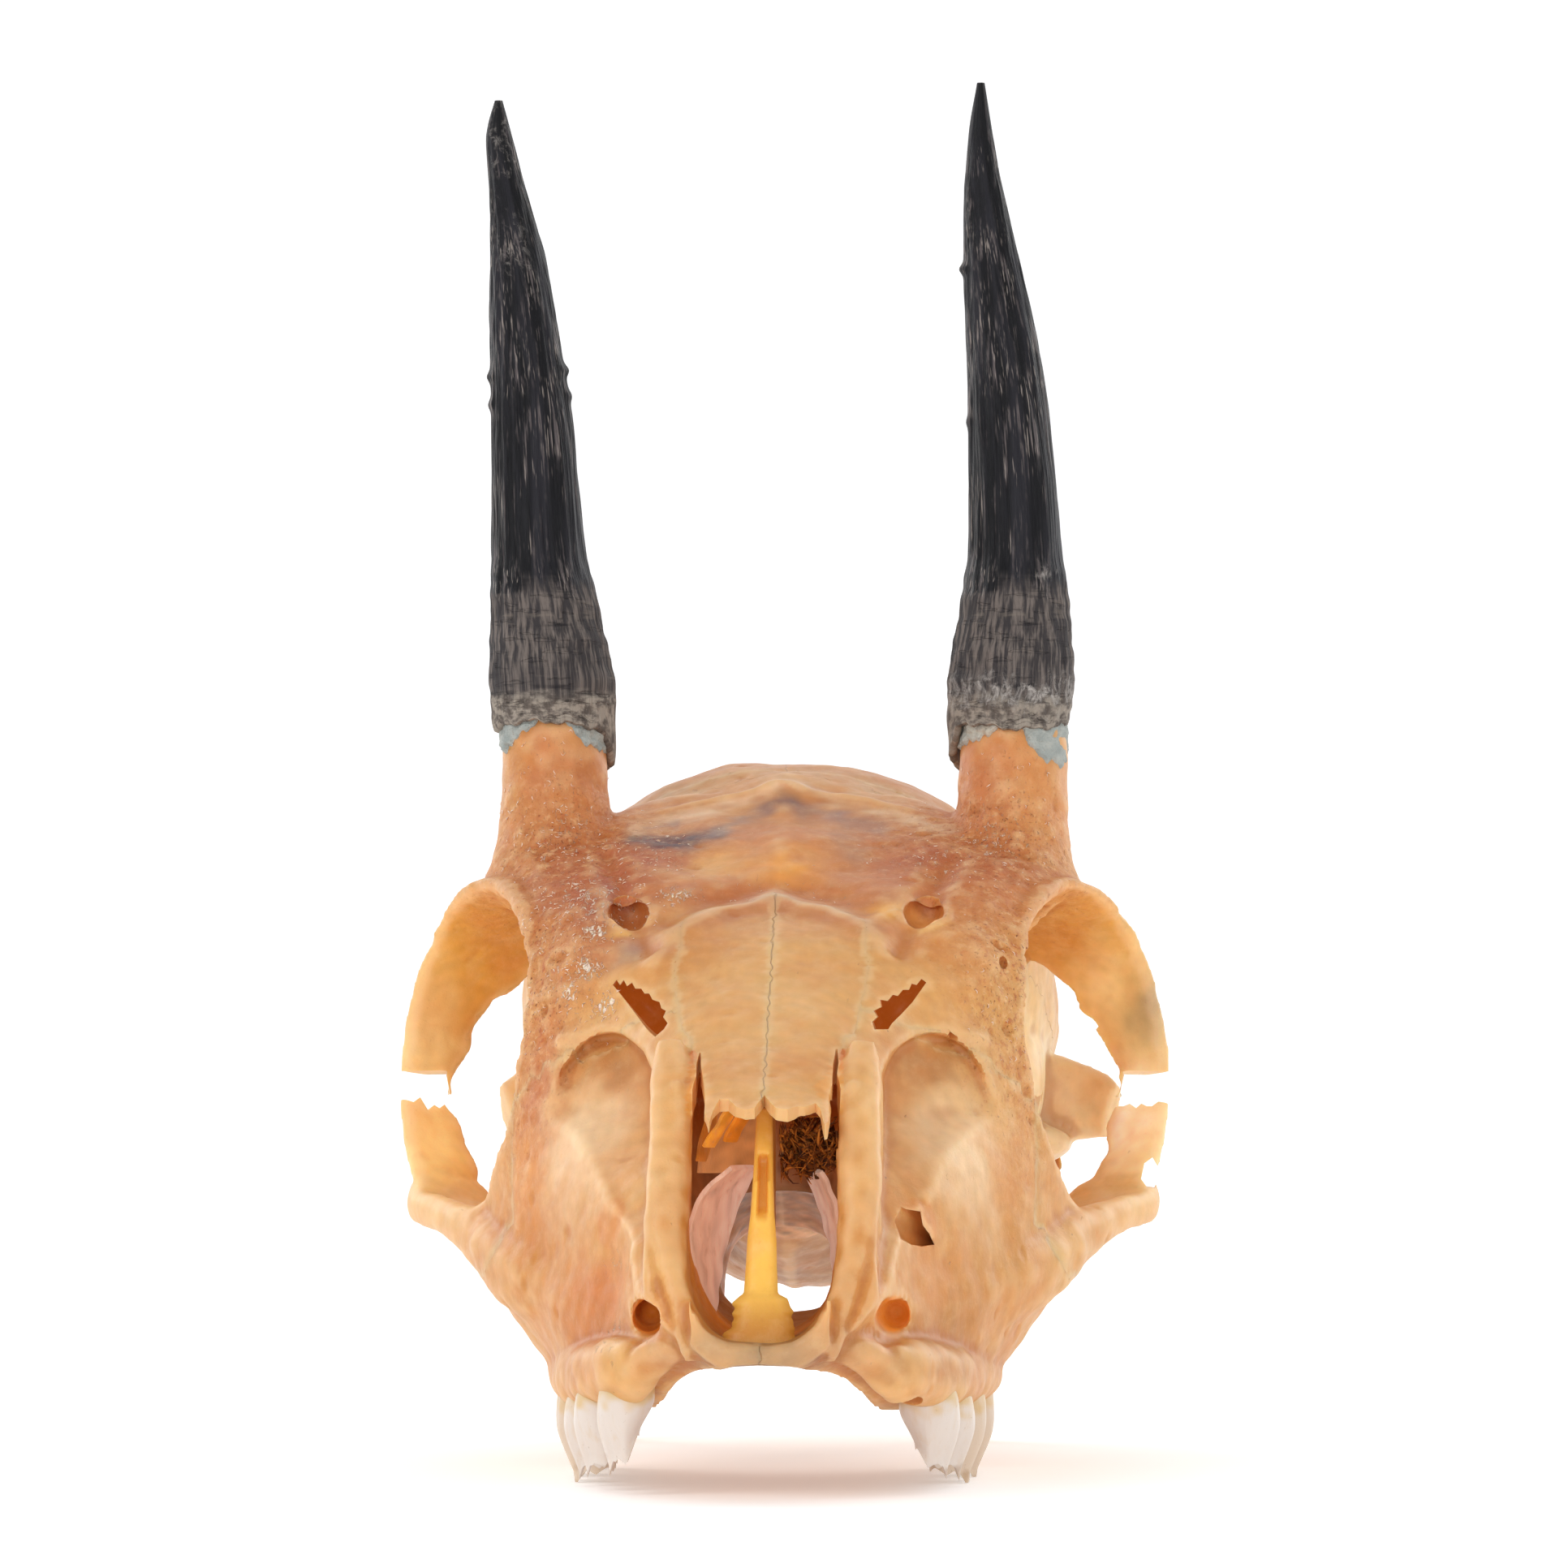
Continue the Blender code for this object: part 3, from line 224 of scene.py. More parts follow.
def sweep(name, path, wide, halfWidth, halfThick, where, around=20, square=2.2):
    # a superellipse carried along a path, its width kept towards the given directions
    path, wide = np.asarray(path, float), np.asarray(wide, float)
    along = np.gradient(path, axis=0)
    along /= np.linalg.norm(along, axis=1, keepdims=True)
    wide = wide - (wide * along).sum(1, keepdims=True) * along
    wide /= np.linalg.norm(wide, axis=1, keepdims=True)
    thin = np.cross(along, wide)
    u, v = rounded(around, square)
    halfWidth = np.broadcast_to(halfWidth, len(path))[:, None, None]
    halfThick = np.broadcast_to(halfThick, len(path))[:, None, None]
    rings = path[:, None, :] + wide[:, None, :] * u[None, :, None] * halfWidth
    return ringBody(name, rings + thin[:, None, :] * v[None, :, None] * halfThick, where)


def smoothSweep(name, knots, wide, halfWidth, halfThick, where, steps=30, **more):
    # the same along a curve through a few knots, with its sizes smoothed between them too
    at = np.linspace(0, len(knots) - 1, steps)
    row = np.arange(len(knots))
    path, halfWidth, halfThick = [smoothThrough(row, values, at) for values in (knots, halfWidth, halfThick)]
    return sweep(name, path, np.repeat([wide], steps, axis=0), halfWidth, halfThick, where, **more)


def ball(name, centre, radii, where, turn=None, around=48):
    # a sphere stretched to its three radii, then turned
    form = bmesh.new()
    bmesh.ops.create_uvsphere(form, u_segments=around, v_segments=around // 2, radius=1.0)
    place = Matrix.Translation(centre) @ (turn or Matrix.Identity(4)) @ Matrix.Diagonal((*radii, 1.0))
    bmesh.ops.transform(form, matrix=place, verts=form.verts)
    return put(name, meshOf(name, form), where)


def prism(name, outline, axis, low, high, where):
    # an outline in the view along one axis, carried straight from low to high, which may differ for each corner
    outline = np.asarray(outline, float)
    return ringBody(name, [np.insert(outline, axis, place, axis=1) for place in (low, high)], where)


def ovalRings(stations, square, under, around, steps):
    # superellipses through place, half width, floor and roof, with a squareness of their own above and below
    table = np.asarray(stations, float)
    places = np.linspace(table[0, 0], table[-1, 0], steps)
    half, floor, roof = smoothThrough(table[:, 0], table[:, 1:], places).T[:, :, None]
    angle = roundAngles(around)[None, :]
    c, s = np.cos(angle), np.sin(angle)
    power = 2 / np.where(s > 0, square, under)
    x = half * signedPower(c, power)
    z = (floor + roof) / 2 + (roof - floor) / 2 * signedPower(s, power)
    return np.stack([x, np.broadcast_to(places[:, None], x.shape), z], axis=-1)


def tunnel(name, stations, square, under, where):
    # the same as a passage to be cut
    return ringBody(name, ovalRings(stations, square, under, 56, 50), where)


def bake(obj):
    # modifiers applied, object back at the origin
    graph = bpy.context.evaluated_depsgraph_get()
    old = obj.data
    mesh = bpy.data.meshes.new_from_object(obj.evaluated_get(graph))
    mesh.transform(obj.matrix_world)
    obj.modifiers.clear()
    obj.matrix_world = Matrix.Identity(4)
    obj.data = mesh
    bpy.data.meshes.remove(old)


def combine(obj, others, operation, keep=False):
    # one Boolean with every object of a group
    cut = obj.modifiers.new("Cut", "BOOLEAN")
    cut.operation = operation
    cut.solver = "MANIFOLD"
    cut.operand_type = "COLLECTION"
    cut.collection = others
    bake(obj)
    if not keep:
        for other in list(others.objects):
            bpy.data.objects.remove(other, do_unlink=True)
        bpy.data.collections.remove(others)


def keepLargest(obj):
    # every surface but the one with the most points is dropped; labels spread along the edges until they settle
    mesh = obj.data
    a, b = edgesOf(mesh)
    label = np.arange(len(mesh.vertices))
    while True:
        low = np.minimum(label[a], label[b])
        fresh = label.copy()
        np.minimum.at(fresh, a, low)
        np.minimum.at(fresh, b, low)
        fresh = fresh[fresh]
        if np.array_equal(fresh, label):
            break
        label = fresh
    main = np.bincount(label).argmax()
    if (label != main).any():
        form = bmesh.new()
        form.from_mesh(mesh)
        form.verts.ensure_lookup_table()
        spare = [form.verts[i] for i in np.flatnonzero(label != main)]
        bmesh.ops.delete(form, geom=spare, context="VERTS")
        form.to_mesh(mesh)
        form.free()


def pointsOf(mesh):
    # the mesh's points as rows of x, y and z
    flat = np.empty(len(mesh.vertices) * 3)
    mesh.vertices.foreach_get("co", flat)
    return flat.reshape(-1, 3)


def normalsOf(mesh):
    # the direction that the surface faces at each point
    flat = np.empty(len(mesh.vertices) * 3)
    mesh.vertex_normals.foreach_get("vector", flat)
    return flat.reshape(-1, 3)


def edgesOf(mesh):
    # the numbers of the two points of each edge
    ends = np.empty(len(mesh.edges) * 2, int)
    mesh.edges.foreach_get("vertices", ends)
    return ends.reshape(-1, 2).T


def movePoints(obj, points):
    # new places for the points of an object
    obj.data.vertices.foreach_set("co", points.ravel())
    obj.data.update()


# the bony skull

head = {
    # place, half widths low, middle and high, underside, roof, squareness below and above
    "stations": np.array([
        [-52.0, 5.2, 7.4, 8.2, 10.6, 26.4, 3.0, 3.2],
        [-45.0, 7.4, 9.4, 9.0, 9.6, 29.6, 3.2, 3.0],
        [-38.0, 11.4, 11.2, 9.4, 7.6, 33.0, 4.0, 2.8],
        [-31.0, 14.2, 14.4, 10.6, 6.6, 36.6, 6.0, 2.7],
        [-23.0, 16.6, 18.4, 13.2, 6.2, 41.2, 8.0, 3.0],
        [-15.0, 18.0, 22.2, 18.6, 6.0, 45.4, 8.0, 4.0],
        [-7.0, 18.6, 24.8, 22.6, 6.0, 49.0, 8.0, 6.5],
        [0.0, 18.2, 24.4, 24.8, 6.6, 51.8, 7.0, 7.0],
        [6.0, 15.0, 19.0, 24.6, 12.0, 54.4, 4.0, 5.0],
        [13.0, 8.0, 14.0, 21.0, 24.0, 57.2, 3.0, 3.0],
    ]),
    "middle": 0.32,  # how far up the middle half width lies
}

braincase = {
    # place, half width, underside and roof
    "stations": np.array([
        [2.0, 11.0, 27.0, 50.0],
        [9.0, 17.0, 24.0, 55.6],
        [16.0, 21.0, 22.0, 58.6],
        [24.0, 22.9, 20.5, 59.3],
        [33.0, 23.2, 19.0, 56.6],
        [41.0, 21.0, 18.0, 50.8],
        [47.0, 17.0, 18.0, 44.5],
        [50.5, 11.0, 20.0, 38.0],
    ]),
    "square": 2.08,
}

orbit = {
    "centre": (26.3, 0.0, 34.9),
    "turn": math.radians(26.0),
    "lean": math.radians(6.0),
    "long": 14.8,  # radius along the head
    "tall": 14.2,
    "socket": (19.5, 14.1, 13.5),
    "rim": 1.7,  # thickness of the ring of bone
    # angle from the front over the top, and depth of the ring there
    "bandAngle": np.radians([40.0, 70.0, 100.0, 130.0, 155.0, 180.0, 215.0, 245.0, 280.0, 315.0, 345.0]),
    "bandDepth": np.array([4.0, 8.0, 12.5, 11.5, 8.0, 5.2, 5.6, 7.2, 7.0, 6.0, 4.0]),
    "breakAngle": math.radians(196.5),
    "breakGap": 0.85,
    # outward places across the bar behind the eye, and how far the break swerves there
    "breakTeeth": {
        "right": (
            [-3.0, 0.0, 0.9, 1.5, 2.2, 2.8, 3.3, 3.8, 4.2, 4.6, 5.4, 9.0],
            [-0.4, -0.3, 0.1, -0.5, 0.9, 0.2, 0.5, 0.0, 0.5, 0.9, 1.3, 1.4],
        ),
        "left": (
            [-3.0, -0.2, 0.7, 1.2, 1.7, 2.2, 2.7, 3.3, 3.9, 4.5, 9.0],
            [0.0, 0.1, 0.0, 0.5, 0.45, 0.1, 0.6, 0.0, 0.2, 0.1, 0.3],
        ),
    },
}

hornCore = {
    # sideways, backward and upward places, and radius
    "stations": np.array([
        [17.8, 6.0, 48.4, 7.8],
        [18.2, 6.6, 50.0, 6.8],
        [18.9, 7.6, 52.4, 5.5],
        [19.4, 8.6, 55.2, 4.75],
        [19.55, 9.4, 58.0, 4.5],
        [19.6, 10.6, 63.0, 4.3],
        [19.7, 11.4, 65.6, 3.9],
    ]),
    "deeper": 1.06,  # length along the head by width, of the core, its putty and the sheath
}


def headRings(around=96, steps=90):
    # each ring is two half superellipses, its half width blended from low over middle to high as it rises
    table = head["stations"]
    places = np.linspace(table[0, 0], table[-1, 0], steps)
    low, middle, high, floor, roof, under, over = smoothThrough(table[:, 0], table[:, 1:], places).T[:, :, None]
    angle = roundAngles(around)[None, :]
    c, s = np.cos(angle), np.sin(angle)
    power = 2 / np.where(s > 0, over, under)
    share = (signedPower(s, power) + 1) / 2
    below = low + (middle - low) * fade(share / head["middle"], 0, 1)
    above = (high - middle) * np.clip((share - head["middle"]) / (1 - head["middle"]), 0, 1)
    x = (below + above) * signedPower(c, power)
    z = floor + (roof - floor) * share
    return np.stack([x, np.broadcast_to(places[:, None], x.shape), z], axis=-1)


def orbitFrame(side):
    # centre of an eye socket with its forward, upward and outward directions
    turn, lean = orbit["turn"], orbit["lean"]
    centre = Vector((orbit["centre"][0] * side, orbit["centre"][1], orbit["centre"][2]))
    forward = Vector((-side * math.sin(turn), -math.cos(turn), 0.0))
    up = Vector((-side * math.sin(lean), 0.0, math.cos(lean)))
    up = (up - forward * up.dot(forward)).normalized()
    out = up.cross(forward).normalized() * side
    return centre, forward, up, (-out if out.x * side < 0 else out)


def rimPoints(side, angles):
    # ellipse round the eye socket
    centre, forward, up, _ = orbitFrame(side)
    c, s = np.cos(angles)[:, None], np.sin(angles)[:, None]
    return np.array(centre) + orbit["long"] * c * np.array(forward) + orbit["tall"] * s * np.array(up)


def orbitBand(side, where):
    # curved plate round the socket, deepest under the horn
    angles = np.linspace(orbit["bandAngle"][0], orbit["bandAngle"][-1], 80)
    depth = smoothThrough(orbit["bandAngle"], orbit["bandDepth"], angles)
    depth = depth + 0.35 * np.sin(angles * 9 + side) + 0.2 * np.sin(angles * 23)
    out = np.array(orbitFrame(side)[3])
    path = rimPoints(side, angles) - out * (depth / 2)[:, None]
    wide = np.repeat(out[None, :], len(angles), axis=0)
    sweep("band", path, wide, depth / 2, orbit["rim"] / 2, where, around=28, square=2.8)


def breakSheet(word, side, where):
    # jagged sheet across the bar behind the eye; the bone on both sides of it stays
    _, forward, up, out = orbitFrame(side)
    c, s = math.cos(orbit["breakAngle"]), math.sin(orbit["breakAngle"])
    here = np.array(c * forward + s * up)
    along = np.array(c * up - s * forward)
    middle = rimPoints(side, np.array([orbit["breakAngle"]]))[0]
    corners = [(-4, -1), (4, -1), (4, 1), (-4, 1)]
    half = orbit["breakGap"] / 2
    rings = [
        [middle - np.array(out) * a + here * r + along * (t * 0.8 + half * way) for r, way in corners]
        for a, t in zip(*orbit["breakTeeth"][word])
    ]
    ringBody("break", rings, where)


def cheekAndArch(side, where):
    # ledge below the eye, and the snapped roots of the cheek arch
    across = np.array([side, 1, 1])
    ledge = np.array([
        [30.9, 12.5, 23.2], [31.0, 8.0, 21.9], [28.4, 2.0, 21.2], [25.2, -4.0, 19.8], [21.4, -12.0, 17.4],
        [16.4, -21.0, 16.0],
    ])
    wide, thick = [1.5, 1.5, 1.5, 2.2, 3.4, 4.2], [0.8, 0.9, 1.1, 1.6, 2.2, 2.4]
    smoothSweep("cheek", ledge * across, (0, 0, 1), wide, thick, where)
    reach = 28.2 if side > 0 else 24.6
    root = np.array([[17.0, 26.5, 31.0], [21.0, 26.5, 30.8], [reach - 2.0, 25.6, 30.2], [reach, 24.4, 29.6]])
    smoothSweep("root", root * across, (0, 0, 1), [4.6, 4.2, 3.2, 2.4], [1.9, 1.7, 1.3, 1.0], where, steps=14)
    ball("joint", (20.0 * side, 24.0, 26.8), (4.8, 5.0, 2.0), where)


def skullBase(where):
    # bar between the ears, ear capsules, condyles, throat plates and the long processes behind the ears
    bar = [[0.0, 4.0, 27.0], [0.0, 16.0, 23.6], [0.0, 28.0, 19.6], [0.0, 40.0, 17.0], [0.0, 48.0, 17.4]]
    smoothSweep("bar", bar, (1, 0, 0), [4.0, 4.6, 5.6, 7.4, 8.0], [3.0, 3.2, 3.4, 3.2, 2.6], where)
    crest = np.array([
        [0.0, 40.0, 50.4], [9.0, 42.4, 48.0], [16.0, 42.6, 41.6], [19.8, 40.6, 34.0], [20.0, 37.0, 28.0],
    ])
    arc = smoothThrough(np.arange(5), crest, np.linspace(0, 4, 30))
    both = np.vstack([arc[:0:-1] * [-1, 1, 1], arc])
    sweep("nape", both, both - np.array([0.0, 36.0, 34.0]), 2.6, 1.2, where)
    for side in sides.values():
        across = np.array([side, 1, 1])
        lean = Matrix.Rotation(math.radians(-14 * side), 4, "Z") @ Matrix.Rotation(math.radians(-18), 4, "X")
        ball("capsule", (11.4 * side, 29.0, 17.2), (5.0, 8.2, 6.6), where, lean)
        ball("earTube", (19.0 * side, 32.0, 25.4), (5.0, 3.0, 3.0), where)
        tilt = Matrix.Rotation(math.radians(-24 * side), 4, "Y") @ Matrix.Rotation(math.radians(16), 4, "X")
        ball("condyle", (6.6 * side, 49.0, 20.6), (4.0, 4.4, 6.4), where, tilt)
        process = np.array([
            [18.4, 40.0, 32.0], [18.0, 42.6, 20.0], [16.8, 43.8, 10.0], [16.1, 43.4, 3.0], [15.9, 43.2, -2.0],
        ])
        smoothSweep(
            "process", process * across, (0, 1, 0), [4.6, 3.8, 2.6, 1.9, 1.6], [3.0, 2.2, 1.6, 1.35, 1.2], where,
        )
        plate = np.array([[6.8, 0.0, 16.4], [6.6, 5.0, 17.0], [6.2, 11.0, 19.6], [5.8, 16.0, 22.0]])
        smoothSweep("throatPlate", plate * across, (0, 0, 1), [5.8, 6.4, 5.6, 3.0], [0.6] * 4, where)


def gumRidge(side, where):
    # swollen edge of bone in which the cheek teeth stand
    knots = np.array([
        [10.2, -42.4, 11.6], [10.8, -39.6, 10.3], [11.4, -36.4, 9.9], [12.9, -31.6, 9.4], [13.6, -25.6, 9.0],
        [14.2, -18.4, 8.8], [14.6, -9.9, 8.8], [14.3, -0.5, 9.2], [13.8, 4.6, 10.0],
    ])
    wide = [0.9, 2.2, 2.6, 2.9, 3.3, 3.8, 4.0, 3.6, 1.8]
    tall = [1.0, 2.3, 2.6, 2.7, 2.8, 2.8, 2.8, 2.6, 1.4]
    smoothSweep("gum", knots * [side, 1, 1], (1, 0, 0), wide, tall, where, steps=50, around=28, square=2.5)


def gumWedge(side, where):
    # ridge that runs from the first tooth up to the foot of the nose pillar
    knots = [[10.9, -38.6, 8.4], [9.8, -41.2, 9.8], [8.3, -43.2, 11.2], [6.6, -45.2, 12.2], [5.4, -46.4, 12.6]]
    wide, tall = [1.6, 2.0, 1.8, 1.4, 0.9], [1.6, 1.7, 1.4, 1.2, 0.8]
    smoothSweep("gumWedge", np.array(knots) * [side, 1, 1], (1.0, 0.0, 0.5 * side), wide, tall, where)


def nosePillar(side, where):
    # rounded bar along the front edge of the nose wall, turning in to the palate at its foot
    knots = np.array([
        [7.7, -31.2, 35.6], [7.6, -33.9, 32.8], [7.45, -37.8, 28.4], [7.6, -41.6, 22.4], [7.15, -44.2, 18.6],
        [6.2, -46.6, 14.8], [4.8, -48.4, 11.6],
    ])
    wide = [1.1, 1.6, 1.75, 1.6, 1.25, 1.1, 1.2]
    deep = [0.9, 1.5, 2.0, 2.0, 1.6, 1.2, 1.1]
    smoothSweep("pillar", knots * [side, 1, 1], (side, 0.12, 0), wide, deep, where, steps=40, around=28, square=3.2)


nosePassage = np.array([  # place, half width, floor and roof
    [-62.0, 5.7, 12.0, 19.0],
    [-52.0, 5.7, 12.2, 24.6],
    [-46.0, 5.8, 12.3, 28.2],
    [-40.0, 6.0, 12.4, 31.1],
    [-34.0, 6.0, 12.5, 33.9],
    [-28.0, 6.2, 12.6, 36.4],
    [-22.0, 6.6, 12.6, 39.2],
    [-12.0, 6.6, 16.0, 43.6],
    [-8.0, 4.4, 22.0, 39.0],
])
# front edge of the bones beside the nose in the side view, in y and z
snoutEdge = np.array([[-30.0, 40.0], [-36.0, 33.4], [-39.8, 27.0], [-44.6, 19.0], [-48.4, 12.6], [-50.6, 6.0]])


def cavities(where):
    # eye sockets, gland hollows, the open end of the snout, nasal passage and palate vault
    for side in sides.values():
        centre, forward, up, out = orbitFrame(side)
        turn = Matrix((out, forward, up)).transposed().to_4x4()
        ball("socket", centre + out * 1.5, orbit["socket"], where, turn, 64)
        hollowCutter(side, where)
        lowX, highX = sorted((5.4 * side, 30 * side))
        beyond = np.vstack([snoutEdge, [[-70.0, 6.0], [-70.0, 60.0], [-30.0, 60.0]]])
        prism("snoutEnd", beyond, 0, lowX, highX, where)
    tunnel("chamber", nosePassage, 5.0, 2.6, where)
    vault = [
        [-62, 4.6, 4.0, 11.0], [-50, 5.2, 4.0, 11.0], [-40, 7.6, 2.0, 10.9], [-28, 9.0, 0.0, 11.0],
        [-12, 10.6, -2.0, 11.2], [2, 10.8, -4.0, 11.4], [10, 10.8, -4.0, 12.4],
    ]
    tunnel("vault", vault, 2.4, 2.4, where)
    prism("palateEnd", [[-70, 2], [-50.4, 2], [-50.2, 21], [-70, 21]], 0, -6, 6, where)


glandHollow = {  # the wide hollow in the cheek in front of the eye
    # outward place and height of the overhanging upper rim
    "rim": np.array([
        [9.2, 33.2], [9.9, 34.8], [11.2, 36.0], [12.6, 36.6], [14.0, 36.5], [15.6, 35.6], [17.0, 33.8], [18.6, 30.0],
    ]),
    "foot": 16.0,
    "inner": 9.2,
    "outer": 18.6,
    "floor": -26.0,  # place of the floor at its inner edge, 30 mm up
    "outward": 0.8,  # how much farther back the floor lies for each millimetre outward
    "below": 1.3,  # and how much farther forward for each millimetre below 30
    "above": 0.6,
}


def hollowCutter(side, where):
    # block seen from the front whose rear face is the hollow's floor: a slope outward and up, with a slow undulation
    u, v = np.meshgrid(np.linspace(0, 1, 44), np.linspace(0, 1, 44), indexing="ij")
    x = glandHollow["inner"] + (glandHollow["outer"] - glandHollow["inner"]) * u
    top = smoothThrough(glandHollow["rim"][:, 0], glandHollow["rim"][:, 1], x.ravel()).reshape(x.shape)
    z = glandHollow["foot"] + (top - glandHollow["foot"]) * v
    floorY = glandHollow["floor"] + glandHollow["outward"] * (x - glandHollow["inner"])
    floorY = floorY - glandHollow["below"] * np.clip(30 - z, 0, 40) + glandHollow["above"] * np.clip(z - 30, 0, 9)
    floorY = floorY + 0.3 * wander(np.stack([x, z, z * 0 + side], axis=-1), 5.0, 21)
    grid = np.stack([side * x, floorY, z], axis=-1)
    front = grid.copy()
    front[..., 1] = -60.0
    ringBody("gland", np.concatenate([grid, front[:, ::-1]], axis=1), where)


noseGap = {
    # edge of the nose bone and edge of the bone beside it, as outward place and place
    "right": (
        np.array([[5.25, -32.2], [5.2, -34.0], [4.95, -36.0], [4.75, -38.0], [4.6, -40.0], [4.5, -60.0]]),
        np.array([[5.4, -32.0], [5.55, -33.6], [5.5, -35.4], [5.75, -37.0], [5.6, -40.0], [5.7, -60.0]]),
    ),
    "left": (
        np.array([[5.5, -31.6], [5.35, -34.0], [5.4, -36.0], [5.35, -38.0], [5.3, -40.0], [5.3, -60.0]]),
        np.array([[5.65, -31.4], [5.8, -33.4], [5.7, -35.0], [6.05, -36.6], [5.9, -39.0], [6.0, -60.0]]),
    ),
}


hollows = [
    # rounded insides behind openings:
    # name, centre, three radii, lean, shift to the animal's left, screen colour, strength of a painted glow
    ("slitInside", (10.4, -15.6, 38.6), (3.6, 4.4, 2.0), -44.0, 0.0, (186, 96, 14), 0.34),
    ("browHole", (12.3, -11.2, 46.5), (1.5, 2.6, 1.35), 20.0, 0.0, (228, 166, 96), 0.34),
    ("cheekHole", (9.7, -41.5, 14.4), (1.5, 8.0, 1.4), 35.0, 0.7, (208, 126, 42), 0.30),
    ("cheekBreakInside", (11.9, -32.0, 21.3), (1.9, 2.4, 2.1), 0.0, 0.0, (196, 132, 76), 0.16),
]


def inHollow(points, hollow):
    # 1 where the squared distance from the centre, each axis in its own radius, is below 0.9; both sides are folded
    centre, radii, lean, shift = hollow[1:5]
    away = np.column_stack([np.abs(points[:, 0] - shift), points[:, 1:]]) - centre
    c, s = math.cos(math.radians(lean)), math.sin(math.radians(lean))
    along, across = away[:, 0] * c - away[:, 2] * s, away[:, 0] * s + away[:, 2] * c
    distance = (along / radii[0]) ** 2 + (away[:, 1] / radii[1]) ** 2 + (across / radii[2]) ** 2
    return 1 - fade(distance, 0.9, 1.25)


def hollowBall(hollow, side, where):
    # ball that cuts the hollow on one side, leaning outward
    name, (x, y, z), radii, lean, shift = hollow[:5]
    ball(name, (x * side + shift, y, z), radii, where, Matrix.Rotation(math.radians(lean) * side, 4, "Y"), 40)


openings = {
    # jagged slits beside the nose bones, in the front view
    "slit": {
        "left": [
            [12.6, 40.7], [12.2, 41.0], [11.8, 40.5], [11.4, 40.6], [11.2, 40.1], [10.7, 40.1], [10.3, 39.6],
            [9.9, 39.7], [9.5, 39.2], [8.9, 39.3], [9.0, 38.7], [8.4, 38.4], [8.7, 37.9], [8.3, 37.5], [8.5, 36.9],
            [9.6, 36.9], [9.9, 37.4], [10.6, 38.1], [11.5, 39.1],
        ],
        "right": [
            [-13.0, 40.5], [-12.7, 40.9], [-12.4, 40.5], [-12.1, 40.9], [-11.8, 40.4], [-11.4, 40.7], [-11.1, 40.2],
            [-10.6, 40.2], [-10.3, 39.8], [-9.9, 39.8], [-9.6, 39.3], [-9.0, 39.1], [-8.8, 38.6], [-8.4, 38.4],
            [-8.6, 37.9], [-8.2, 37.4], [-8.5, 36.9], [-9.2, 36.3], [-9.6, 36.6], [-10.1, 37.1], [-11.1, 38.3],
            [-12.3, 39.7],
        ],
    },
    # holes on both sides: name, centre, three radii, fineness
    "pairs": [
        ("barEnd", (27.9, 6.0, 32.0), (1.1, 15.0, 1.4), 24),
        ("gumHole", (11.2, -40.0, 11.2), (0.4, 1.6, 0.36), 14),
        ("earHole", (23.4, 31.6, 25.8), (2.6, 1.5, 1.4), 20),
        ("throatHole", (9.0, 16.4, 22.4), (1.3, 1.6, 3.0), 16),
        ("nerveHole", (15.6, 9.0, 34.0), (2.4, 1.6, 1.6), 16),
        ("palateHole", (7.0, -18.0, 11.6), (0.7, 1.4, 1.6), 16),
    ],
    # the same, one of each
    "single": [
        ("pit", (18.9, -13.4, 42.4), (0.45, 1.0, 0.585), 14),
        ("pit", (-17.2, -14.2, 41.6), (0.45, 1.0, 0.585), 14),
        ("pit", (14.2, -9.4, 49.6), (0.5, 1.0, 0.65), 14),
        ("emptySocket", (10.9, -37.6, 7.4), (1.7, 2.5, 2.4), 28),
    ],
    # three-cornered break in the left cheek and notch in the cheekbone, in the front view
    "cheekBreak": [
        [10.2, 23.0], [11.2, 22.6], [12.3, 22.4], [12.5, 21.3], [13.0, 20.6], [13.4, 19.7], [12.4, 19.6],
        [11.6, 19.8], [10.8, 20.3], [10.3, 21.6],
    ],
    "barNotch": [
        [30.4, 24.1], [30.7, 25.4], [31.4, 25.9], [31.8, 25.2], [34.0, 25.1], [34.0, 24.3], [31.9, 24.1],
        [31.6, 23.3], [30.9, 23.4],
    ],
    # broken front edge of the nose bones from above: spikes and lobes, different on the two sides
    "noseEdge": [
        [-5.5, -38.0], [-5.3, -39.2], [-4.8, -41.0], [-4.45, -42.4], [-4.15, -44.0], [-3.9, -42.2], [-3.4, -40.9],
        [-2.7, -41.0], [-2.1, -42.2], [-1.3, -42.7], [-0.6, -42.5], [-0.3, -41.6], [0.1, -40.4], [0.6, -41.7],
        [1.1, -42.5], [2.0, -42.7], [2.8, -42.0], [3.3, -41.9], [3.8, -41.3], [4.15, -40.8], [4.55, -41.3],
        [4.75, -42.8], [4.95, -43.9], [5.15, -43.2], [5.3, -41.0], [5.5, -38.0], [5.5, -60.0], [-5.5, -60.0],
    ],
}


